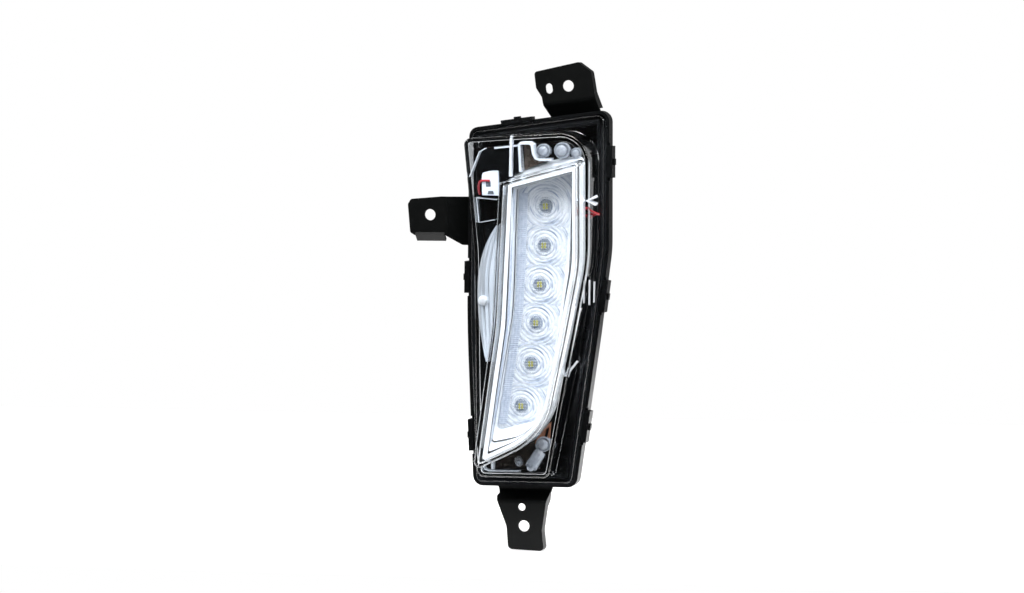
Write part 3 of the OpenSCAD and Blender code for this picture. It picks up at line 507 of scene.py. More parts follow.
@dataclass(frozen=True)
class LampFrame:
    """Sizes that every sub-assembly shares, in mm, as in the part's source."""

    origin: tuple[float, float, float] = (62.577, 12.0, 252.505)
    box_low: float = 22.0
    box_high: float = 36.0
    housing_h: float = 238.0
    blade_h: float = 16.0
    housing: RoundedOutline = RoundedOutline(
        ((4, 0), (70.5, 0), (84.5, 96), (91.5, 150), (91.5, 238), (1.5, 226), (0, 105)),
        (6.5, 6.5, 200, 90, 7, 6, 900))

    def plane(self, points: np.ndarray) -> tuple[np.ndarray, np.ndarray]:
        """Returns the x and s of points in the row frame, in mm."""
        p = points / MM + np.array(self.origin)
        return p[:, 0], p[:, 2] * math.cos(self.lean) - (p[:, 1] + self.box_low) * math.sin(self.lean)

    @property
    def lean(self) -> float:
        """Returns the lean of the lamp's front, in radians."""
        return math.atan((self.box_high - self.box_low) / self.housing_h)

    @property
    def box(self) -> RoundedOutline:
        """Returns the first step of the lens."""
        steps = ((7.5, 7.5), (-13, 7.5), (-9.3, 2), (-7.3, -6), (-5.9, -13), (4.5, -6), (11.8, 45))
        return self.housing.stepped(steps, (5, 5, 150, 120, 18, 4, 120))

    @property
    def blade(self) -> RoundedOutline:
        """Returns the second step of the lens."""
        steps = ((0.7, 5.5), (1.5, 27.8), (-2.2, 0), (-2, -1), (-2.8, -17.5), (26, -26), (14.5, -45))
        return self.box.stepped(steps, (4, 48, 120, 100, 2.5, 3, 150))

    @property
    def window(self) -> RoundedOutline:
        """Returns the window of the bezel."""
        steps = ((12.1, 23.5), (-4.5, 9.7), (-12, -18), (-13.7, -13), (-7.7, -8.5), (7.9, -5.7), (10.3, 10))
        return self.blade.stepped(steps, (2.5, 13, 90, 90, 2, 2, 120))

    def upright(self, points: Flat, y: float) -> Ring:
        """Places plane points at depth y behind the rim's front."""
        p = np.asarray(points, float)
        return np.column_stack([p[:, 0], np.full(len(p), y), p[:, 1]]) * MM - np.array(self.origin) * MM

    def front(self, points: Flat, y: float | np.ndarray) -> Ring:
        """Places plane points in the leaning frame.

        Args:
            points: The points.
            y: Depth behind the lens's first step, one for all or one for each.

        Returns:
            The points in the row frame.
        """
        p = np.asarray(points, float)
        c, s = math.cos(self.lean), math.sin(self.lean)
        deep = y * c - p[:, 1] * s - self.box_low
        return np.column_stack([p[:, 0], deep, y * s + p[:, 1] * c]) * MM - np.array(self.origin) * MM


LAMP = LampFrame()


# ---------------------------------------------------------------- meshes


def mesh_piece(name: str, points: np.ndarray, faces: list[tuple[int, ...]], surface: Surface,
               sharp_deg: float = SHARP_DEG) -> bpy.types.Object:
    """Makes a piece from points and faces, smooth but for its sharp edges.

    Args:
        name: The piece's name.
        points: Points in the row frame, in metres.
        faces: Point numbers of each face.
        surface: Its finish.
        sharp_deg: Angle past which an edge stays sharp.

    Returns:
        The object, at the origin.
    """
    data = bpy.data.meshes.new(name)
    data.from_pydata([tuple(p) for p in points], [], faces)
    grid = bmesh.new()
    grid.from_mesh(data)
    bmesh.ops.remove_doubles(grid, verts=grid.verts, dist=MERGE_M)
    bmesh.ops.recalc_face_normals(grid, faces=grid.faces)
    grid.to_mesh(data)
    grid.free()
    data.shade_smooth()
    data.set_sharp_from_angle(angle=math.radians(sharp_deg))
    piece = bpy.data.objects.new(name, data)
    bpy.context.scene.collection.objects.link(piece)
    dress(piece, surface)
    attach(piece, "root")
    log.info("made %s", name)
    return piece


def skin_faces(rings: int, n: int, looped: bool) -> list[tuple[int, ...]]:
    """Joins rings of points into a closed skin.

    Args:
        rings: Number of rings.
        n: Points of each.
        looped: Whether the last ring joins the first, and not two ends.

    Returns:
        Point numbers of each face.
    """
    faces: list[tuple[int, ...]] = []
    for i in range(rings if looped else rings - 1):
        a, b = i * n, (i + 1) % rings * n
        faces += [(a + j, b + j, b + (j + 1) % n, a + (j + 1) % n) for j in range(n)]
    if not looped:
        faces += [tuple(range(n)), tuple(reversed(range((rings - 1) * n, rings * n)))]
    return faces


def skin_piece(name: str, rings: list[Ring], surface: Surface, looped: bool = False) -> bpy.types.Object:
    """Makes a skin through rings that have the same number of points."""
    return mesh_piece(name, np.vstack(rings), skin_faces(len(rings), len(rings[0]), looped), surface)


def rounded_edge(outline: RoundedOutline, y: float, radius: float, inset: float = 0.0, steps: int = 4) -> list[Ring]:
    """Rolls an outline's side wall over into a face at depth y, in the leaning frame.

    Args:
        outline: The wall's outline.
        y: Depth of the face.
        radius: Radius of the edge.
        inset: Inset of the wall.
        steps: Steps of the quarter circle.

    Returns:
        The rings from the wall to the face.
    """
    rings = []
    for j in range(steps + 1):
        a = math.pi / 2 * j / steps
        rings.append(LAMP.front(outline.at(inset + radius * (1 - math.cos(a))), y + radius * (1 - math.sin(a))))
    return rings


def prism(name: str, outline: list[tuple[float, float]] | Flat, y0: float, y1: float,
          surface: Surface) -> bpy.types.Object:
    """Makes a block of a plane outline in the leaning frame, with a small chamfer in front.

    Args:
        name: The piece's name.
        outline: Its outline.
        y0: Depth of the front.
        y1: Depth of the back.
        surface: Its finish.

    Returns:
        The piece.
    """
    flat = np.array(outline, float)
    middle = flat.mean(axis=0)
    inner = middle + (flat - middle) * (1 - CHAMFER_MM / max(np.abs(flat - middle).max(), 1))
    rings = [LAMP.front(inner, y0), LAMP.front(flat, y0 + CHAMFER_MM), LAMP.front(flat, y1)]
    return skin_piece(name, rings, surface)


def thick_path(path: list[tuple[float, float]], width: float) -> Flat:
    """Widens a path into a closed outline.

    Args:
        path: The path's points.
        width: Its width, in mm.

    Returns:
        The outline.
    """
    p = np.array(path, float)
    ahead, behind = np.vstack([p[1:], p[-1:]]), np.vstack([p[:1], p[:-1]])
    way = np.array([unit(a - b) for a, b in zip(ahead, behind)])
    side = np.column_stack([-way[:, 1], way[:, 0]]) * width / 2
    return np.vstack([p + side, (p - side)[::-1]])


def tube(route: tuple[tuple[float, float, float], ...], radius: float, steps: int = 8, sides: int = 14) -> list[Ring]:
    """Sweeps a circle along a smooth route through points of the leaning frame (x, y, s).

    Args:
        route: The points.
        radius: Radius of the tube, in mm.
        steps: Steps between two points.
        sides: Sides of the circle.

    Returns:
        Its rings.
    """
    p = np.array(route, float)
    line = []
    for i in range(len(p) - 1):
        a, b, c, d = p[max(i - 1, 0)], p[i], p[i + 1], p[min(i + 2, len(p) - 1)]
        for t in np.arange(steps) / steps:
            line.append(0.5 * (2 * b + (c - a) * t + (2 * a - 5 * b + 4 * c - d) * t * t
                               + (3 * b - a - 3 * c + d) * t ** 3))
    line = np.array(line + [p[-1]])
    rings = []
    for i, at in enumerate(line):
        way = unit(line[min(i + 1, len(line) - 1)] - line[max(i - 1, 0)])
        u = unit(np.cross(way, [0.85, 0.1, -0.35]))
        v = np.cross(way, u)
        angles = np.linspace(0, 2 * math.pi, sides, endpoint=False)
        ring = at + radius * (np.outer(np.cos(angles), u) + np.outer(np.sin(angles), v))
        rings.append(LAMP.front(ring[:, [0, 2]], ring[:, 1]))
    return rings


def turned(name: str, base: tuple[float, float, float], tip: tuple[float, float, float],
           profile: list[tuple[float, float]], surface: Surface, sides: int = 32) -> bpy.types.Object:
    """Turns a profile about the axis from base to tip, both (x, y, s) in the leaning frame.

    Args:
        name: The piece's name.
        base: Start of the axis.
        tip: End of the axis.
        profile: Pairs of distance along the axis and radius, in mm.
        surface: Its finish.
        sides: Sides of the circle.

    Returns:
        The piece.
    """
    start, way = np.array(base, float), unit(np.array(tip, float) - np.array(base, float))
    u = unit(np.cross(way, [0.1, 0.2, 1.0]))
    v = np.cross(way, u)
    angles = np.linspace(0, 2 * math.pi, sides, endpoint=False)
    rings = []
    for along, radius in profile:
        ring = start + way * along + radius * (np.outer(np.cos(angles), u) + np.outer(np.sin(angles), v))
        rings.append(LAMP.front(ring[:, [0, 2]], ring[:, 1]))
    return skin_piece(name, rings, surface)


def domed(length: float, radius: float, flat: float = 0.35) -> list[tuple[float, float]]:
    """Returns the profile of a pin with a rounded end."""
    turn = [math.pi / 2 * j / 5 for j in range(6)]
    end = radius * (1 - flat)
    return [(0.0, radius)] + [(length - end + end * math.sin(a), radius - end + end * math.cos(a)) for a in turn]


def collared(length: float, radius: float) -> list[tuple[float, float]]:
    """Returns the profile of a boss with a collar and a lower dome."""
    top = length - 2.4
    steps = ((-0.5, 1.0), (-0.1, 0.95), (0.0, 0.88), (-0.7, 0.8), (-0.7, 0.7), (0.8, 0.66), (1.8, 0.48), (2.3, 0.22))
    return [(0.0, radius)] + [(top + along, radius * share) for along, share in steps]


def height_plate(name: str, outline: Flat, size: tuple[int, int],
                 front: Callable[[np.ndarray, np.ndarray, np.ndarray], np.ndarray],
                 back_y: float, surface: Surface) -> bpy.types.Object:
    """Makes a plate whose front is a field of depths within an outline and whose back is flat.

    Args:
        name: The piece's name.
        outline: The plate's outline.
        size: Columns and rows of the field.
        front: Depth of the front from x, s and the distance from the left side.
        back_y: Depth of the back.
        surface: Its finish.

    Returns:
        The piece.
    """
    n, m = size
    ahead = np.roll(outline, -1, axis=0)
    fore, back = [], []
    for s in np.linspace(outline[:, 1].min() + 0.02, outline[:, 1].max() - 0.02, m):
        crossing = (outline[:, 1] - s) * (ahead[:, 1] - s) <= 0
        p, q = outline[crossing], ahead[crossing]
        xs = p[:, 0] + (q[:, 0] - p[:, 0]) * (s - p[:, 1]) / np.where(q[:, 1] == p[:, 1], 1e-9, q[:, 1] - p[:, 1])
        x = np.linspace(xs.min(), xs.max(), n)
        flat = np.column_stack([x, np.full(n, s)])
        fore.append(LAMP.front(flat, front(x, flat[:, 1], x - xs.min())))
        back.append(LAMP.front(flat, np.full(n, back_y)))
    faces: list[tuple[int, ...]] = []
    for i in range(m - 1):
        for j in range(n - 1):
            a = i * n + j
            faces += [(a, a + 1, a + n + 1, a + n), (a + m * n, a + n + m * n, a + n + 1 + m * n, a + 1 + m * n)]
    loop = ([j for j in range(n)] + [i * n + n - 1 for i in range(1, m)]
            + [(m - 1) * n + j for j in range(n - 2, -1, -1)] + [i * n for i in range(m - 2, 0, -1)])
    faces += [(a, a + m * n, b + m * n, b) for a, b in zip(loop, loop[1:] + loop[:1])]
    return mesh_piece(name, np.vstack(fore + back), faces, surface, FIELD_SHARP_DEG)


# ---------------------------------------------------------------- sub-assemblies


@dataclass
class Lens:
    """The clear lens: one wall of constant thickness in two steps, with its leg in the glue channel."""

    wall: float = 2.4
    draft: float = 0.6
    ledge: float = 3.0
    leg_in: float = 3.0
    leg: float = 2.2
    leg_d: float = 6.5
    edge: float = 1.2

    def build(self) -> bpy.types.Object:
        """Builds the lens in place of its solid.

        Returns:
            The piece.
        """
        box, blade, hull, front = LAMP.box, LAMP.blade, LAMP.housing, -LAMP.blade_h
        out, inner = self.leg_in, self.leg_in + self.leg
        inside = [*reversed(rounded_edge(blade, front + self.wall, 1.0, self.wall)),
                  LAMP.front(blade.at(self.wall - self.draft), self.wall),
                  *reversed(rounded_edge(box, self.wall, 0.5, self.wall)),
                  LAMP.upright(box.at(self.wall - self.draft), self.leg - self.ledge)]
        leg = [LAMP.upright(hull.at(inner), self.leg - self.ledge), LAMP.upright(hull.at(inner), self.leg_d),
               LAMP.upright(hull.at(out), self.leg_d), LAMP.upright(hull.at(out), 0.5 - self.ledge),
               LAMP.upright(hull.at(out + 0.5), -self.ledge)]
        outside = [LAMP.upright(box.at(-self.draft), -self.ledge),
                   *rounded_edge(box, 0.0, self.edge),
                   LAMP.front(blade.at(-self.draft), 0.0),
                   *rounded_edge(blade, front, 1.5)]
        piece = skin_piece("clear_lens", inside + leg + outside, Surface.LENS)
        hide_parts("outer_lens")
        return piece


@dataclass
class Optic:
    """The ringed optic over its white tray: pillows about each emitter, and a serrated strip along its left side."""

    face_y: float = 4.7
    thick: float = 3.0
    lap: float = 1.2
    emitters: tuple[tuple[float, float], ...] = (
        (56.7, 178.1), (55.5, 153.7), (52.9, 129.2), (50.3, 105.0), (46.8, 79.2), (40.2, 52.5))
    cell: float = 2.3
    cells_a_ring: float = 3.6
    pillow: float = 0.6
    grid_pitch: tuple[float, float] = (1.15, 1.9)
    strip_in: float = 6.4
    bead_pitch: float = 1.35
    bead_r: float = 0.42
    centre_r: float = 4.2
    centre_rings: tuple[tuple[float, float], ...] = ((0.3, 3.5), (2.0, 3.7), (4.2, 4.3), (4.2, 4.9), (0.3, 4.9))
    centre_sides: int = 28
    die_places: tuple[float, float] = (-1.1, 0.9)
    die_rings: tuple[tuple[float, float, float], ...] = ((0.55, 1.75, 3.1), (0.65, 1.9, 3.25), (0.65, 1.9, 3.6))
    grid_r: float = 5.6
    grid_step: tuple[float, float] = (1.5, 1.75)
    grid_y: float = 2.95
    tray_y: float = 9.0
    tray_back: float = 15.9

    def nearest(self, x: np.ndarray, s: np.ndarray) -> tuple[np.ndarray, np.ndarray]:
        """Measures each point from its nearest emitter.

        Args:
            x: Places to the right.
            s: Places along the height.

        Returns:
            The distances and the bearings.
        """
        near, turn = np.full(x.shape, 1e9), np.zeros(x.shape)
        for cx, cs in self.emitters:
            r = np.hypot(x - cx, s - cs)
            turn = np.where(r < near, np.arctan2(s - cs, x - cx), turn)
            near = np.minimum(near, r)
        return near, turn

    def front(self, x: np.ndarray, s: np.ndarray, left: np.ndarray) -> np.ndarray:
        """Returns the depth of the optic's face.

        Args:
            x: Places to the right.
            s: Places along the height.
            left: Distance from the left side.

        Returns:
            The depths, in mm.
        """
        near, turn = self.nearest(x, s)
        ring = near / self.cell
        cells = np.maximum(np.round(np.floor(ring) * self.cells_a_ring), 1)
        along = turn / (2 * math.pi) * cells + 0.5 * (np.floor(ring) % 2)
        rings = self.pillow * 4 * (ring % 1) * (1 - ring % 1) * (0.35 + 2.6 * (along % 1) * (1 - along % 1))
        grid_x, grid_s = (x / self.grid_pitch[0]) % 1, (s / self.grid_pitch[1]) % 1
        grid = 1.68 * grid_x * (1 - grid_x) * (0.3 + 2.8 * grid_s * (1 - grid_s))
        centre = np.clip((self.centre_r + 0.6 - near) / 1.2, 0, 1)
        strip = 0.3 * 4 * (left / 1.6 % 1) * (1 - left / 1.6 % 1) * (0.5 + 0.5 * np.abs((s / 2.6) % 1 - 0.5) * 2)
        out = np.where(left < self.strip_in, strip, rings * (1 - centre) + grid * centre)
        return self.face_y - out * np.minimum(1, left / 0.6)

    def strip_front(self, x: np.ndarray, s: np.ndarray, left: np.ndarray) -> np.ndarray:
        """Returns the depth of the fluted strip beside the rings."""
        tooth = np.abs((s / 1.3) % 1 - 0.5) * 2
        return self.face_y - 0.75 - 0.45 * tooth * (0.4 + 0.6 * np.abs(np.sin(left * 1.7)))

    def tray_front(self, x: np.ndarray, s: np.ndarray, left: np.ndarray) -> np.ndarray:
        """Returns the depth of the tray: a dish about each emitter."""
        near, _ = self.nearest(x, s)
        return self.tray_back - 1.2 - np.clip(near / 11.0, 0, 1) ** 2 * (self.tray_back - 1.2 - self.tray_y)

    def map_rings(self, face: bpy.types.Object) -> None:
        """Maps radius and bearing about the nearest emitter onto the face, where they place the painted ring shade.

        Args:
            face: The optic's face.
        """
        data = face.data
        points = np.empty(len(data.vertices) * 3)
        data.vertices.foreach_get("co", points)
        x, s = LAMP.plane(points.reshape(-1, 3))
        near, turn = self.nearest(x, s)
        corners = np.empty(len(data.loops), int)
        data.loops.foreach_get("vertex_index", corners)
        # This map places the optic's painted ring shade
        layer = data.uv_layers.new(name="rings")
        layer.data.foreach_set("uv", np.column_stack([near / POLAR_MM, turn / (2 * math.pi) + 0.5])[corners].ravel())

    def centres(self) -> bpy.types.Object:
        """Builds the clear domes just before the emitters.

        Returns:
            The domes.
        """
        points, faces = [], []
        sides, count = self.centre_sides, len(self.centre_rings)
        angles = np.linspace(0, 2 * math.pi, sides, endpoint=False)
        for cx, cs in self.emitters:
            for radius, y in self.centre_rings:
                flat = np.column_stack([cx + radius * np.cos(angles), cs + radius * np.sin(angles)])
                points.append(LAMP.front(flat, y))
            start = (len(points) - count) * sides
            faces += [tuple(start + k for k in f) for f in skin_faces(count, sides, False)]
        return mesh_piece("optic_centres", np.vstack(points), faces, Surface.OPTIC_CENTRE)

    def lights(self) -> bpy.types.Object:
        """Builds two yellow dies at each emitter's place, instead of the emitters' solids.

        Returns:
            The dies.
        """
        points, faces = [], []
        count, turns = len(self.die_rings), ((-1, -1), (1, -1), (1, 1), (-1, 1))
        for cx, cs in self.emitters:
            for dx in self.die_places:
                for half_w, half_h, y in self.die_rings:
                    flat = np.array([(cx + dx + i * half_w, cs + j * half_h) for i, j in turns])
                    points.append(LAMP.front(flat, y))
                start = (len(points) - count) * 4
                faces += [tuple(start + k for k in f) for f in skin_faces(count, 4, False)]
        piece = mesh_piece("phosphor_dies", np.vstack(points), faces, Surface.EMITTER)
        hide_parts("led_packages")
        return piece

    def bead_tree(self) -> bpy.types.NodeTree:
        """Builds the node tree that sets a bead on every point.

        Returns:
            The tree, whose inputs are the points, the bead's radius and the smallest share of it.
        """
        tree = bpy.data.node_groups.new("bead_row", "GeometryNodeTree")
        face = tree.interface
        face.new_socket("Points", in_out="INPUT", socket_type="NodeSocketGeometry")
        face.new_socket("Bead Radius", in_out="INPUT", socket_type="NodeSocketFloat").default_value = 0.0004
        face.new_socket("Least Scale", in_out="INPUT", socket_type="NodeSocketFloat").default_value = 0.8
        face.new_socket("Geometry", in_out="OUTPUT", socket_type="NodeSocketGeometry")
        given = add(tree, "NodeGroupInput")
        bead = add(tree, "GeometryNodeMeshIcoSphere", {"Radius": given.outputs["Bead Radius"], "Subdivisions": 2})
        spread = add(tree, "FunctionNodeRandomValue", {
            2: given.outputs["Least Scale"], 3: 1.15, "Seed": 7}, data_type="FLOAT")
        placed = add(tree, "GeometryNodeInstanceOnPoints", {
            "Points": given.outputs["Points"], "Instance": bead.outputs["Mesh"], "Scale": spread.outputs[1]})
        real = add(tree, "GeometryNodeRealizeInstances", {"Geometry": placed.outputs["Instances"]})
        # The beads take the edge finish, whose near-white is painted highlight
        done = add(tree, "GeometryNodeSetMaterial", {
            "Geometry": real.outputs["Geometry"], "Material": finish_of(Surface.EDGE)})
        add(tree, "NodeGroupOutput", {"Geometry": done.outputs["Geometry"]})
        return tree

    def beads(self) -> bpy.types.Object:
        """Builds the beads with Geometry Nodes: a row beside the strip, and a grid behind each dome.

        Returns:
            The piece.
        """
        heights = np.arange(LAMP.window.corners[0][1] + 6, LAMP.window.corners[5][1] - 1, self.bead_pitch)
        row = [(LAMP.window.span(s)[0] + self.strip_in, s) for s in heights]
        across_mm, up_mm = self.grid_step
        cells = [(i * across_mm, j * up_mm) for i in range(-3, 4) for j in range(-3, 4)]
        grid = [(cx + dx, cs + ds) for cx, cs in self.emitters for dx, ds in cells if math.hypot(dx, ds) < self.grid_r]
        depths = np.array([self.face_y - 0.1] * len(row) + [self.grid_y] * len(grid))
        seed = bpy.data.meshes.new("bead_points")
        seed.from_pydata([tuple(p) for p in LAMP.front(np.array(row + grid), depths)], [], [])
        holder = bpy.data.objects.new("bead_points", seed)
        bpy.context.scene.collection.objects.link(holder)
        rule = holder.modifiers.new("bead_row", "NODES")
        rule.node_group = self.bead_tree()
        for socket in rule.node_group.interface.items_tree:
            if socket.name == "Bead Radius" and socket.in_out == "INPUT":
                rule[socket.identifier] = self.bead_r * MM
        ready = holder.evaluated_get(bpy.context.evaluated_depsgraph_get())
        data = bpy.data.meshes.new_from_object(ready)
        holder.modifiers.remove(rule)
        bpy.data.objects.remove(holder)
        data.name = "optic_beads"
        data.shade_smooth()
        piece = bpy.data.objects.new("optic_beads", data)
        bpy.context.scene.collection.objects.link(piece)
        dress(piece, Surface.EDGE)
        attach(piece, "root")
        log.info("made %s", piece.name)
        return piece

    def build(self) -> bpy.types.Object:
        """Builds the optic in place of its solid.

        Returns:
            The face.
        """
        outline = LAMP.window.at(-self.lap, 24)
        face = height_plate("optic_face", outline, (98, 430), self.front, self.face_y + self.thick, Surface.OPTIC)
        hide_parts("inner_optic")
        self.map_rings(face)
        rim = LAMP.window.at(-self.lap + 1.4, 12)
        heights = np.linspace(rim[:, 1].min() + 3, rim[:, 1].max() - 12, 40)
        left = np.array([(LAMP.window.span(s, 0.4)[0], s) for s in heights])
        strip = np.vstack([left + (self.strip_in - 1.0, 0), left[::-1]])
        height_plate("fluted_strip", strip, (20, 420), self.strip_front, self.face_y - 0.35, Surface.FLUTES)
        height_plate("white_tray", outline, (60, 240), self.tray_front, self.tray_back, Surface.TRAY)
        self.lights()
        self.centres()
        self.beads()
        return face


@dataclass
class Bezel:
    """The bright surround in shells: a flared skirt, a step at the left, the rim, and the slope down to the optic."""

    front_y: float = -12.0
    rim_in: tuple[float, float, float, float] = (5.8, 5.1, 5.1, 7.9)
    side_in: tuple[float, float, float, float] = (3.6, 2.9, 2.9, 6.7)
    step_in: tuple[float, float, float, float] = (2.7, 2.4, 2.6, 3.2)
    skirt_in: tuple[float, float, float, float] = (2.3, 2.1, 2.3, 2.8)
    foot_in: tuple[float, float, float, float] = (2.0, 1.8, -4.2, 2.6)
    wall: float = 1.5
    window_y: float = 3.0
    foot_y: float = 15.95
    # Shares of the slope and widths in mm, at the corners of the window, of the two lines of painted gap shade
    rim_gap: tuple[tuple[float, ...], tuple[float, ...]] = (
        (0.06, 0.05, 0.12, 0.12, 0.1, 0.1, 0.1), (2.0, 1.2, 3.0, 3.2, 2.6, 2.6, 2.8))
    frame_gap: tuple[tuple[float, ...], tuple[float, ...]] = (
        (0.5, 0.32, 0.3, 0.3, 0.34, 0.86, 0.9), (0.9, 0.9, 1.4, 1.4, 1.2, 1.2, 1.4))
    flutes: tuple[float, float] = (0.24, 0.52)

    @staticmethod
    def by(insets: tuple[float, ...], grow: float) -> tuple[float, ...]:
        """Returns the side insets, moved by a distance."""
        return tuple(e + grow for e in insets)

    def on_slope(self, shares: tuple[float, ...], aside: float | np.ndarray, lift: float,
                 picked: list[int] | None = None) -> Ring:
        """Returns a ring on the slope between the rim and the window.

        Args:
            shares: Share of the way to the window at each of the seven corners.
            aside: Distance down the slope from there, in mm.
            lift: Distance in front of it, in mm.
            picked: The points to keep, or all.

        Returns:
            The ring.
        """
        rim, window = LAMP.blade.at(self.rim_in), LAMP.window.at(0.0)
        share = np.repeat(shares, len(rim) // SIDES)
        deep = self.window_y - self.front_y
        length = np.hypot(np.linalg.norm(window - rim, axis=1), deep)
        t = np.clip(share + aside / length, 0.0, 1.0)
        ring = LAMP.front(rim + (window - rim) * t[:, None], self.front_y + deep * t - lift)
        return ring if picked is None else ring[picked]

    def line(self, name: str, shares: tuple[float, ...], widths: tuple[float, ...],
             surface: Surface) -> bpy.types.Object:
        """Lays a line on the slope.

        Args:
            name: The line's name.
            shares: Share of the slope at each corner.
            widths: Width at each corner, in mm.
            surface: Its finish.

        Returns:
            The line.
        """
        rings = [self.on_slope(shares, side * np.repeat(widths, len(LAMP.window.at(0.0)) // SIDES) / 2, lift)
                 for side, lift in ((-1, 0.2), (-1, -0.4), (1, -0.4), (1, 0.2))]
        return skin_piece(name, rings, surface, looped=True)

    def band(self, name: str, start: float, end: float, surface: Surface) -> bpy.types.Object:
        """Lays a textured band on the slope's left side.

        Args:
            name: The band's name.
            start: Share of the slope where it starts.
            end: Share where it ends.
            surface: Its finish.

        Returns:
            The band.
        """
        steps = len(LAMP.window.at(0.0)) // SIDES
        left = list(range((SIDES - 1) * steps - 1, SIDES * steps)) + [0]
        rings = np.stack([self.on_slope((t,) * SIDES, 0.0, lift, left)
                          for t, lift in ((start, 0.1), (end, 0.1), (end, -0.5), (start, -0.5))], axis=1)
        return skin_piece(name, list(rings), surface)

    def build(self) -> bpy.types.Object:
        """Builds the bezel in place of its solid.

        Returns:
            The skin.
        """
        blade, window, y, t = LAMP.blade, LAMP.window, self.front_y, self.wall
        outer = [(self.foot_in, self.foot_y), (self.skirt_in, 2.0), (self.step_in, -2.6),
                 (self.by(self.step_in, 0.4), -3.0), (self.by(self.side_in, -0.2), -3.2), (self.side_in, y + 0.6),
                 (self.by(self.side_in, 0.15), y + 0.15), (self.by(self.side_in, 0.5), y),
                 (self.by(self.rim_in, -0.4), y), (self.rim_in, y + 0.3)]
        inner = [(self.by(self.side_in, 0.9), y + t), (self.by(self.side_in, 0.7), -1.5),
                 (self.by(self.step_in, t), -1.3), (self.by(self.skirt_in, t), 2.0),
                 (self.by(self.foot_in, t), self.foot_y)]
        rings = [LAMP.front(blade.at(inset), at) for inset, at in outer]
        rings += [LAMP.front(window.at(-0.5), self.window_y - 0.4), LAMP.front(window.at(0.0), self.window_y + 0.2),
                  LAMP.front(window.at(0.0), self.window_y + t - 0.1)]
        rings += [LAMP.front(blade.at(inset), at) for inset, at in inner]
        piece = skin_piece("bright_bezel", rings, Surface.BEZEL, looped=True)
        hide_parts("front_bezel")
        # rim_gap and frame_gap are painted shade: dark lines laid over the slope
        self.line("rim_gap", *self.rim_gap, Surface.GAP)
        self.line("frame_gap", *self.frame_gap, Surface.GAP)
        self.band("fluted_band", *self.flutes, Surface.FLUTES)
        return piece


@dataclass
class Wing:
    """The metallised wing that fans out from the bezel's left side, and its clear boss.

    Both reach into the left wall of the lens, as report.md says under its open faults.
    """

    edge: tuple[tuple[float, float], ...] = (
        (18.0, 80.2), (14.0, 106.9), (13.4, 125.2), (15.5, 143.4), (19.2, 154.7), (25.9, 166.0))
    clear_of_blade: float = 0.8
    rim_y: float = 3.5
    depth: float = 8.5
    back: float = 1.2
    boss: tuple[float, float] = (16.7, 118.6)

    def front(self, x: np.ndarray, s: np.ndarray, left: np.ndarray) -> np.ndarray:
        """Returns the depth of the wing: a dish with ridges and a bulge.

        Args:
            x: Places to the right; not used.
            s: Places along the height.
            left: Distance from the left side.

        Returns:
            The depths, in mm.
        """
        share = left / max(left.max(), 0.1)
        ridges = 0.28 * np.sin(share * 2 * math.pi * 4.5 + 0.035 * (s - 80)) + 0.12 * np.sin(share * 2 * math.pi * 11)
        bulge = 2.2 * np.exp(-((s - 134) / 11) ** 2) * np.sin(share * math.pi)
        return self.rim_y + self.depth * share ** 1.4 + ridges * np.sin(share * math.pi) - bulge

    def build(self) -> bpy.types.Object:
        """Builds the wing in place of its solid.

        Returns:
            The wing.
        """
        way = np.array(self.edge)
        heights = np.linspace(way[0][1], way[-1][1], 60)
        bent = np.poly1d(np.polyfit(way[:, 1], way[:, 0], 4))
        left = np.column_stack([bent(heights), heights])
        right = np.array([(max(LAMP.blade.span(s, -0.6)[0] - self.clear_of_blade, x + 0.5), s) for x, s in left])
        wing = height_plate("metallised_wing", np.vstack([left, right[::-1]])[::-1], (46, 150), self.front,
                            self.rim_y + self.depth + self.back, Surface.MIRROR)
        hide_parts("side_reflector")
        x, s = self.boss
        # The clear boss takes the edge finish, whose near-white is painted highlight
        boss = turned("wing_boss", (x, 12.0, s), (x, 0.0, s), domed(10.5, 3.2), Surface.EDGE)
        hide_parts("reflector_screw")
        return wing


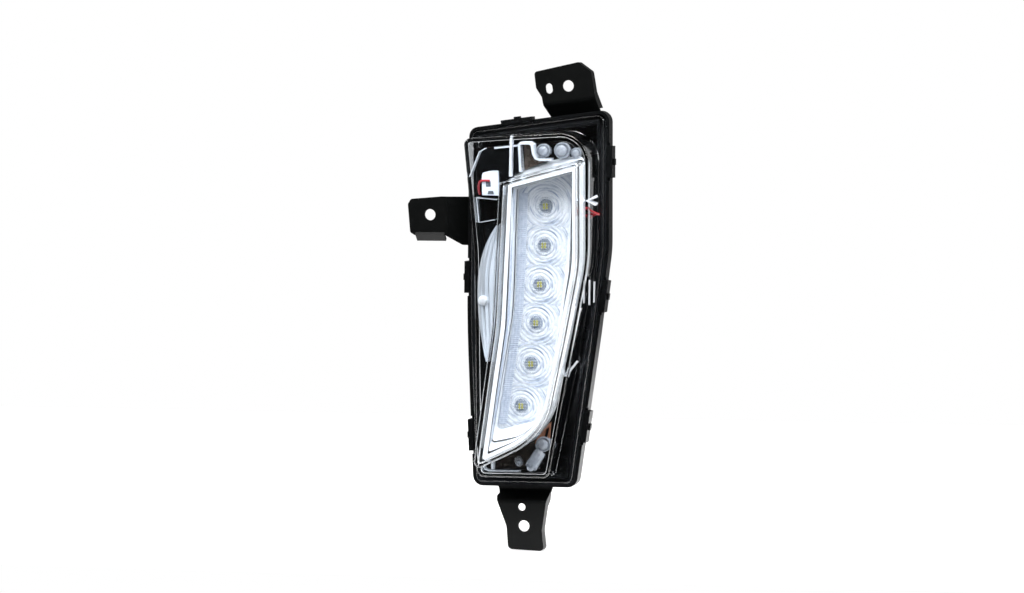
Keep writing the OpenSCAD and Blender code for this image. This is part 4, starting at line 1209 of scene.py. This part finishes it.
@dataclass
class Fittings:
    """Clear ridges, bosses and walls of the lens and carrier, and the plates that show beside the bezel.

    A wall has its path, width, front and back. A plate has its outline, front, back and finish. A boss has the ends
    of its axis, its length and its radius. All are in mm, in the leaning frame. clamp_rib_a, slanted_pin, cell_rail
    and foot_rail reach into the lens wall, as report.md says under its open faults.
    """

    walls: dict[str, tuple[list[tuple[float, float]], float, float, float]] = field(default_factory=lambda: {
        "contour_wall": ([(41.6, 199.4), (41.0, 216.2), (42.0, 217.2), (47.6, 217.2), (49.2, 216.0), (50.0, 210.5),
                          (51.4, 207.8), (54.0, 206.9), (61.0, 206.9)], 1.5, 3.0, 11.5),
        "mask_rail": ([(24.7, 213.9), (40.3, 215.6)], 1.1, 5.0, 9.0),
        "lens_ridge": ([(35.6, 196.6), (36.4, 220.6)], 1.5, 0.4, 6.0),
        "cell_rail": ([(9.2, 196.1), (15.6, 211.8), (19.0, 213.6)], 0.6, 3.5, 9.0),
        "recess_rail": ([(13.1, 167.1), (11.9, 182.6), (25.2, 181.6)], 0.6, 9.0, 15.0),
        "recess_sill": ([(13.3, 167.1), (23.3, 168.8)], 0.4, 9.5, 15.0),
        "foot_rail": ([(13.2, 13.6), (14.6, 11.0), (17.0, 10.2), (37.2, 10.5)], 0.6, 10.5, 15.0),
        "clamp_rib_a": ([(81.2, 118.0), (81.6, 132.0)], 0.6, 0.6, 3.0),
        "clamp_rib_b": ([(84.6, 117.0), (85.0, 132.5)], 0.8, 0.6, 3.0),
        "clamp_rib_c": ([(87.6, 118.5), (88.0, 131.5)], 0.6, 0.6, 3.0),
        "slanted_pin": ([(75.6, 80.9), (68.0, 71.5)], 1.3, 6.0, 8.5),
        "foot_stub": ([(20.2, 17.4), (20.1, 11.7)], 1.3, 7.0, 13.0),
    })
    plates: dict[str, tuple[list[tuple[float, float]], float, float, Surface]] = field(default_factory=lambda: {
        "mask_panel": ([(24.9, 213.2), (26.7, 192.0), (30.5, 194.2), (40.2, 198.6), (40.2, 214.8)],
                       8.6, 10.4, Surface.PANEL),
        "bronze_plate": ([(42.4, 199.9), (58.0, 206.0), (50.6, 207.6), (49.4, 212.0), (48.0, 216.2), (42.2, 216.2)],
                         11.6, 13.0, Surface.TINT),
        "smoked_plate": ([(17.9, 11.0), (43.5, 11.0), (47.5, 20.0), (46.0, 30.0), (38.0, 28.0), (17.9, 20.0)],
                         13.0, 15.0, Surface.DARK_TINT),
        "copper_corner": ([(46.0, 27.5), (55.6, 27.5), (57.0, 41.5), (50.0, 36.0)], 13.6, 15.4, Surface.COPPER),
    })
    bosses: tuple[tuple[str, tuple[float, float, float], tuple[float, float, float], float, float], ...] = (
        ("top_boss", (67.0, 15.9, 212.2), (67.3, 0.0, 212.7), 11.5, 4.9),
        ("top_boss_small", (55.0, 15.9, 211.8), (55.4, 0.0, 212.6), 10.5, 4.3),
        ("top_boss_lobe", (75.6, 15.9, 210.6), (76.0, 0.0, 211.2), 9.5, 3.3),
        ("foot_boss", (52.6, 15.9, 27.8), (52.4, 0.0, 27.6), 8.5, 4.8),
        ("foot_cylinder", (49.6, 13.0, 22.0), (43.6, 4.0, 10.9), 14.0, 3.9),
        ("foot_pin", (36.6, 15.9, 15.6), (37.0, 0.0, 15.4), 8.0, 2.2),
    )

    def build(self) -> bpy.types.Object:
        """Builds the fittings.

        Returns:
            The last of them.
        """
        for name, (path, width, y0, y1) in self.walls.items():
            # The walls' near-white is painted highlight, for the bright lines of clear edges
            prism(name, thick_path(path, width), y0, y1, Surface.EDGE)
        for name, (outline, y0, y1, surface) in self.plates.items():
            prism(name, outline, y0, y1, surface)
        for name, base, tip, length, radius in self.bosses:
            # The bosses' near-white is painted light
            piece = turned(name, base, tip, collared(length, radius), Surface.BOSS)
        return piece


@dataclass
class Wiring:
    """The plug beside the bezel, the hook at the right, and the red wires that show at both.

    The supply lead's bend passes out through the right wall of the lens, and the hook cuts that wall, as report.md
    says under its open faults.
    """

    wire_r: float = 0.7
    plug: tuple[tuple[float, float], ...] = (
        (16.2, 184.4), (26.8, 184.2), (26.8, 199.5), (18.8, 199.0), (16.9, 198.4), (16.2, 196.8))
    plug_y: tuple[float, float] = (6.5, 15.8)
    mouths: dict[str, list[tuple[float, float]]] = field(default_factory=lambda: {
        "plug_mouth_top": [(18.6, 189.6), (21.9, 189.6), (21.9, 193.0), (18.6, 193.0)],
        "plug_mouth_low": [(19.6, 185.0), (24.0, 185.0), (23.4, 187.2), (20.2, 187.2)],
    })
    mouth_y: tuple[float, float] = (-0.15, 1.0)
    plug_route: tuple[tuple[float, float, float], ...] = (
        (21.5, 6.1, 193.6), (16.2, 5.9, 193.4), (13.8, 8.5, 191.0), (13.0, 11.5, 186.5), (13.0, 15.8, 183.0))
    supply_route: tuple[tuple[float, float, float], ...] = (
        (45.5, 40.0, 60.0), (52.0, 37.0, 90.0), (62.0, 33.0, 125.0), (70.0, 28.0, 156.0), (79.0, 23.0, 169.0),
        (87.0, 17.0, 172.0), (89.0, 11.0, 172.6), (87.0, 6.6, 174.3), (82.5, 5.6, 177.0), (78.0, 12.0, 178.0),
        (72.5, 18.6, 177.6))
    hook: tuple[tuple[float, float], ...] = ((89.9, 184.5), (84.4, 182.0), (89.9, 179.6))
    hook_w: float = 1.5
    hook_y: tuple[float, float] = (-2.0, 5.0)

    def wire(self, name: str, route: tuple[tuple[float, float, float], ...]) -> bpy.types.Object:
        """Sweeps a red wire along a route of the leaning frame."""
        return skin_piece(name, tube(route, self.wire_r), Surface.RED_WIRE)

    def build(self) -> bpy.types.Object:
        """Builds the plug, the hook and the wires in place of their solids.

        Returns:
            The plug.
        """
        plug = prism("white_plug", list(self.plug), *self.plug_y, Surface.PLUG)
        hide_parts("wire_plug")
        front, back = (self.plug_y[0] + y for y in self.mouth_y)
        for name, outline in self.mouths.items():
            prism(name, outline, front, back, Surface.MOUTH)
        self.wire("plug_lead", self.plug_route)
        hook = prism("white_hook", thick_path(list(self.hook), self.hook_w), *self.hook_y, Surface.PLUG)
        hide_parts("wire_clip")
        red = self.wire("supply_lead", self.supply_route)
        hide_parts("red_wire")
        return plug


@dataclass
class DressedSolids:
    """The solids that keep their own shape, with the finish of each."""

    surfaces: dict[str, Surface] = field(default_factory=lambda: {
        "rear_housing": Surface.HOUSING, "lens_sealant": Surface.SEALANT, "outer_lens": Surface.LENS,
        "front_bezel": Surface.BEZEL, "inner_optic": Surface.OPTIC, "optic_screws": Surface.SCREW,
        "carrier_plate": Surface.CARRIER, "carrier_screws": Surface.DARK_SCREW, "circuit_board": Surface.BOARD,
        "led_packages": Surface.EMITTER, "driver_parts": Surface.CHIP, "thermal_pad": Surface.PAD,
        "heat_sink": Surface.SINK, "board_screws": Surface.SCREW, "side_panel": Surface.PANEL,
        "side_reflector": Surface.MIRROR, "reflector_screw": Surface.SCREW, "wire_plug": Surface.PLUG,
        "wire_clip": Surface.PLUG, "red_wire": Surface.RED_WIRE, "black_wire": Surface.BLACK_WIRE,
        "socket_terminals": Surface.TERMINAL, "breather_cap": Surface.CAP, "upper_bracket": Surface.BRACKET,
        "left_bracket": Surface.BRACKET, "lower_bracket": Surface.BRACKET, "bracket_screws": Surface.SCREW,
    })

    def build(self) -> None:
        """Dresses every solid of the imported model."""
        for name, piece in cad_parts.items():
            dress(piece, self.surfaces[name])
            log.info("dressed %s", name)


# ---------------------------------------------------------------- the studio


@dataclass
class Studio:
    """A white room: pale floor, soft lamps, and a camera at the photograph's viewing angle."""

    azimuth: float = 13.0
    elevation: float = 3.0
    distance: float = 2.5
    pixels: float = 1024.0
    mm_per_pixel: float = 0.63
    aim: tuple[float, float, float] = (29.1, 0.0, 120.0)
    # The floor's half width, front and back, and its drop below the lamp, in metres. It stops short in front, so that
    # the leaning faces don't mirror it
    floor_half: float = 1.2
    floor_ends: tuple[float, float] = (-0.14, 1.0)
    floor_drop: float = 0.0002
    # Name, place and side in metres, and power in watts
    lamps: tuple[tuple[str, tuple[float, float, float], float, float], ...] = (
        ("soft_left", (-1.3, -1.1, 0.7), 0.9, 16.0),
        ("soft_right", (1.4, -0.7, 0.4), 0.8, 12.0),
        ("soft_top", (0.15, -0.85, 1.25), 1.2, 44.0))
    lamp_aim: tuple[float, float, float] = (-0.03, 0.0, -0.13)

    def camera(self) -> bpy.types.Object:
        """Places the camera.

        Returns:
            The camera.
        """
        data = bpy.data.cameras.new("camera")
        data.sensor_width = 36.0
        data.lens = self.distance / (self.mm_per_pixel * MM) / self.pixels * data.sensor_width
        data.clip_end = 50.0
        a, e = math.radians(self.azimuth), math.radians(self.elevation)
        back = Vector((math.sin(a) * math.cos(e), -math.cos(a) * math.cos(e), math.sin(e)))
        camera = bpy.data.objects.new("camera", data)
        camera.location = (Vector(self.aim) - Vector(LAMP.origin)) * MM + back * self.distance
        camera.rotation_mode = "QUATERNION"
        camera.rotation_quaternion = (-back).to_track_quat("-Z", "Y")
        bpy.context.scene.collection.objects.link(camera)
        bpy.context.scene.camera = camera
        return camera

    def floor(self) -> None:
        """Lays a pale floor under the lower bracket, which the camera sees as white but for the shadow."""
        data = bpy.data.meshes.new("studio_floor")
        low, half, (fore, back) = CAD_BOX[0].z - self.floor_drop, self.floor_half, self.floor_ends
        corners = [(-half, fore, low), (half, fore, low), (half, back, low), (-half, back, low)]
        data.from_pydata(corners, [], [(0, 1, 2, 3)])
        made = bpy.data.materials.new("pale_floor")
        made.use_nodes = True
        tree = made.node_tree
        shader = tree.nodes["Principled BSDF"]
        shader.inputs["Base Color"].default_value = linear("e6e6e6")
        shader.inputs["Roughness"].default_value = 0.9
        glow = add(tree, "ShaderNodeEmission", {"Color": (1, 1, 1, 1), "Strength": 0.55})
        both = add(tree, "ShaderNodeAddShader", {0: shader.outputs["BSDF"], 1: glow.outputs["Emission"]})
        ray = add(tree, "ShaderNodeLightPath")
        seen = ray.outputs["Is Camera Ray"]
        for kind in ("Is Glossy Ray", "Is Transmission Ray"):
            seen = add(tree, "ShaderNodeMath", {0: seen, 1: ray.outputs[kind]}, operation="MAXIMUM").outputs[0]
        either = add(tree, "ShaderNodeMixShader", {0: seen, 1: shader.outputs["BSDF"], 2: both.outputs["Shader"]})
        tree.links.new(either.outputs["Shader"], tree.nodes["Material Output"].inputs["Surface"])
        data.materials.append(made)
        floor = bpy.data.objects.new("studio_floor", data)
        bpy.context.scene.collection.objects.link(floor)

    def world(self) -> None:
        """Fills the room: white to the camera and at the sides, and dark in front for what the lamp mirrors."""
        world = bpy.data.worlds.new("studio")
        world.use_nodes = True
        tree = world.node_tree
        sky = tree.nodes["Background"]
        way = add(tree, "ShaderNodeSeparateXYZ", {"Vector": add(tree, "ShaderNodeTexCoord").outputs["Generated"]})
        room = add(tree, "ShaderNodeMapRange", {"Value": way.outputs["Y"], "From Min": -0.75, "From Max": 0.0,
                                                "To Min": 0.02, "To Max": 1.0})
        behind = add(tree, "ShaderNodeMapRange", {"Value": way.outputs["Y"], "From Min": 0.0, "From Max": 0.5,
                                                  "To Min": 1.0, "To Max": 0.15})
        dimmed = add(tree, "ShaderNodeMath", {
            0: room.outputs["Result"], 1: behind.outputs["Result"]}, operation="MULTIPLY")
        ray = add(tree, "ShaderNodeLightPath")
        level = dimmed.outputs[0]
        for kind, value in (("Is Diffuse Ray", 0.55), ("Is Transmission Ray", room.outputs["Result"]),
                            ("Is Camera Ray", 1.0)):
            level = add(tree, "ShaderNodeMix", {0: ray.outputs[kind], 2: level, 3: value}, data_type="FLOAT").outputs[0]
        tree.links.new(level, sky.inputs["Strength"])
        sky.inputs["Color"].default_value = (1, 1, 1, 1)
        bpy.context.scene.world = world

    def lamp(self, name: str, place: tuple[float, float, float], size: float, power: float) -> None:
        """Hangs a square soft lamp that looks at the object.

        Args:
            name: Its name.
            place: Its place in the row frame, in metres.
            size: Its side, in metres.
            power: Its power, in watts.
        """
        data = bpy.data.lights.new(name, "AREA")
        data.size, data.energy = size, power
        light = bpy.data.objects.new(name, data)
        light.location = place
        light.rotation_mode = "QUATERNION"
        light.rotation_quaternion = (Vector(self.lamp_aim) - Vector(place)).to_track_quat("-Z", "Y")
        bpy.context.scene.collection.objects.link(light)

    def build(self) -> None:
        """Builds the room."""
        self.camera()
        self.floor()
        self.world()
        for lamp in self.lamps:
            self.lamp(*lamp)
        bpy.context.scene.view_settings.view_transform = "Standard"


def main() -> None:
    """Builds the room, dresses the solids and makes the finer pieces."""
    logging.basicConfig(level=logging.INFO)
    Studio().build()
    DressedSolids().build()
    for assembly in (Lens(), Bezel(), Optic(), Wing(), Fittings(), Wiring()):
        log.info("built %s", assembly.build().name)


if __name__ == "__main__":
    main()
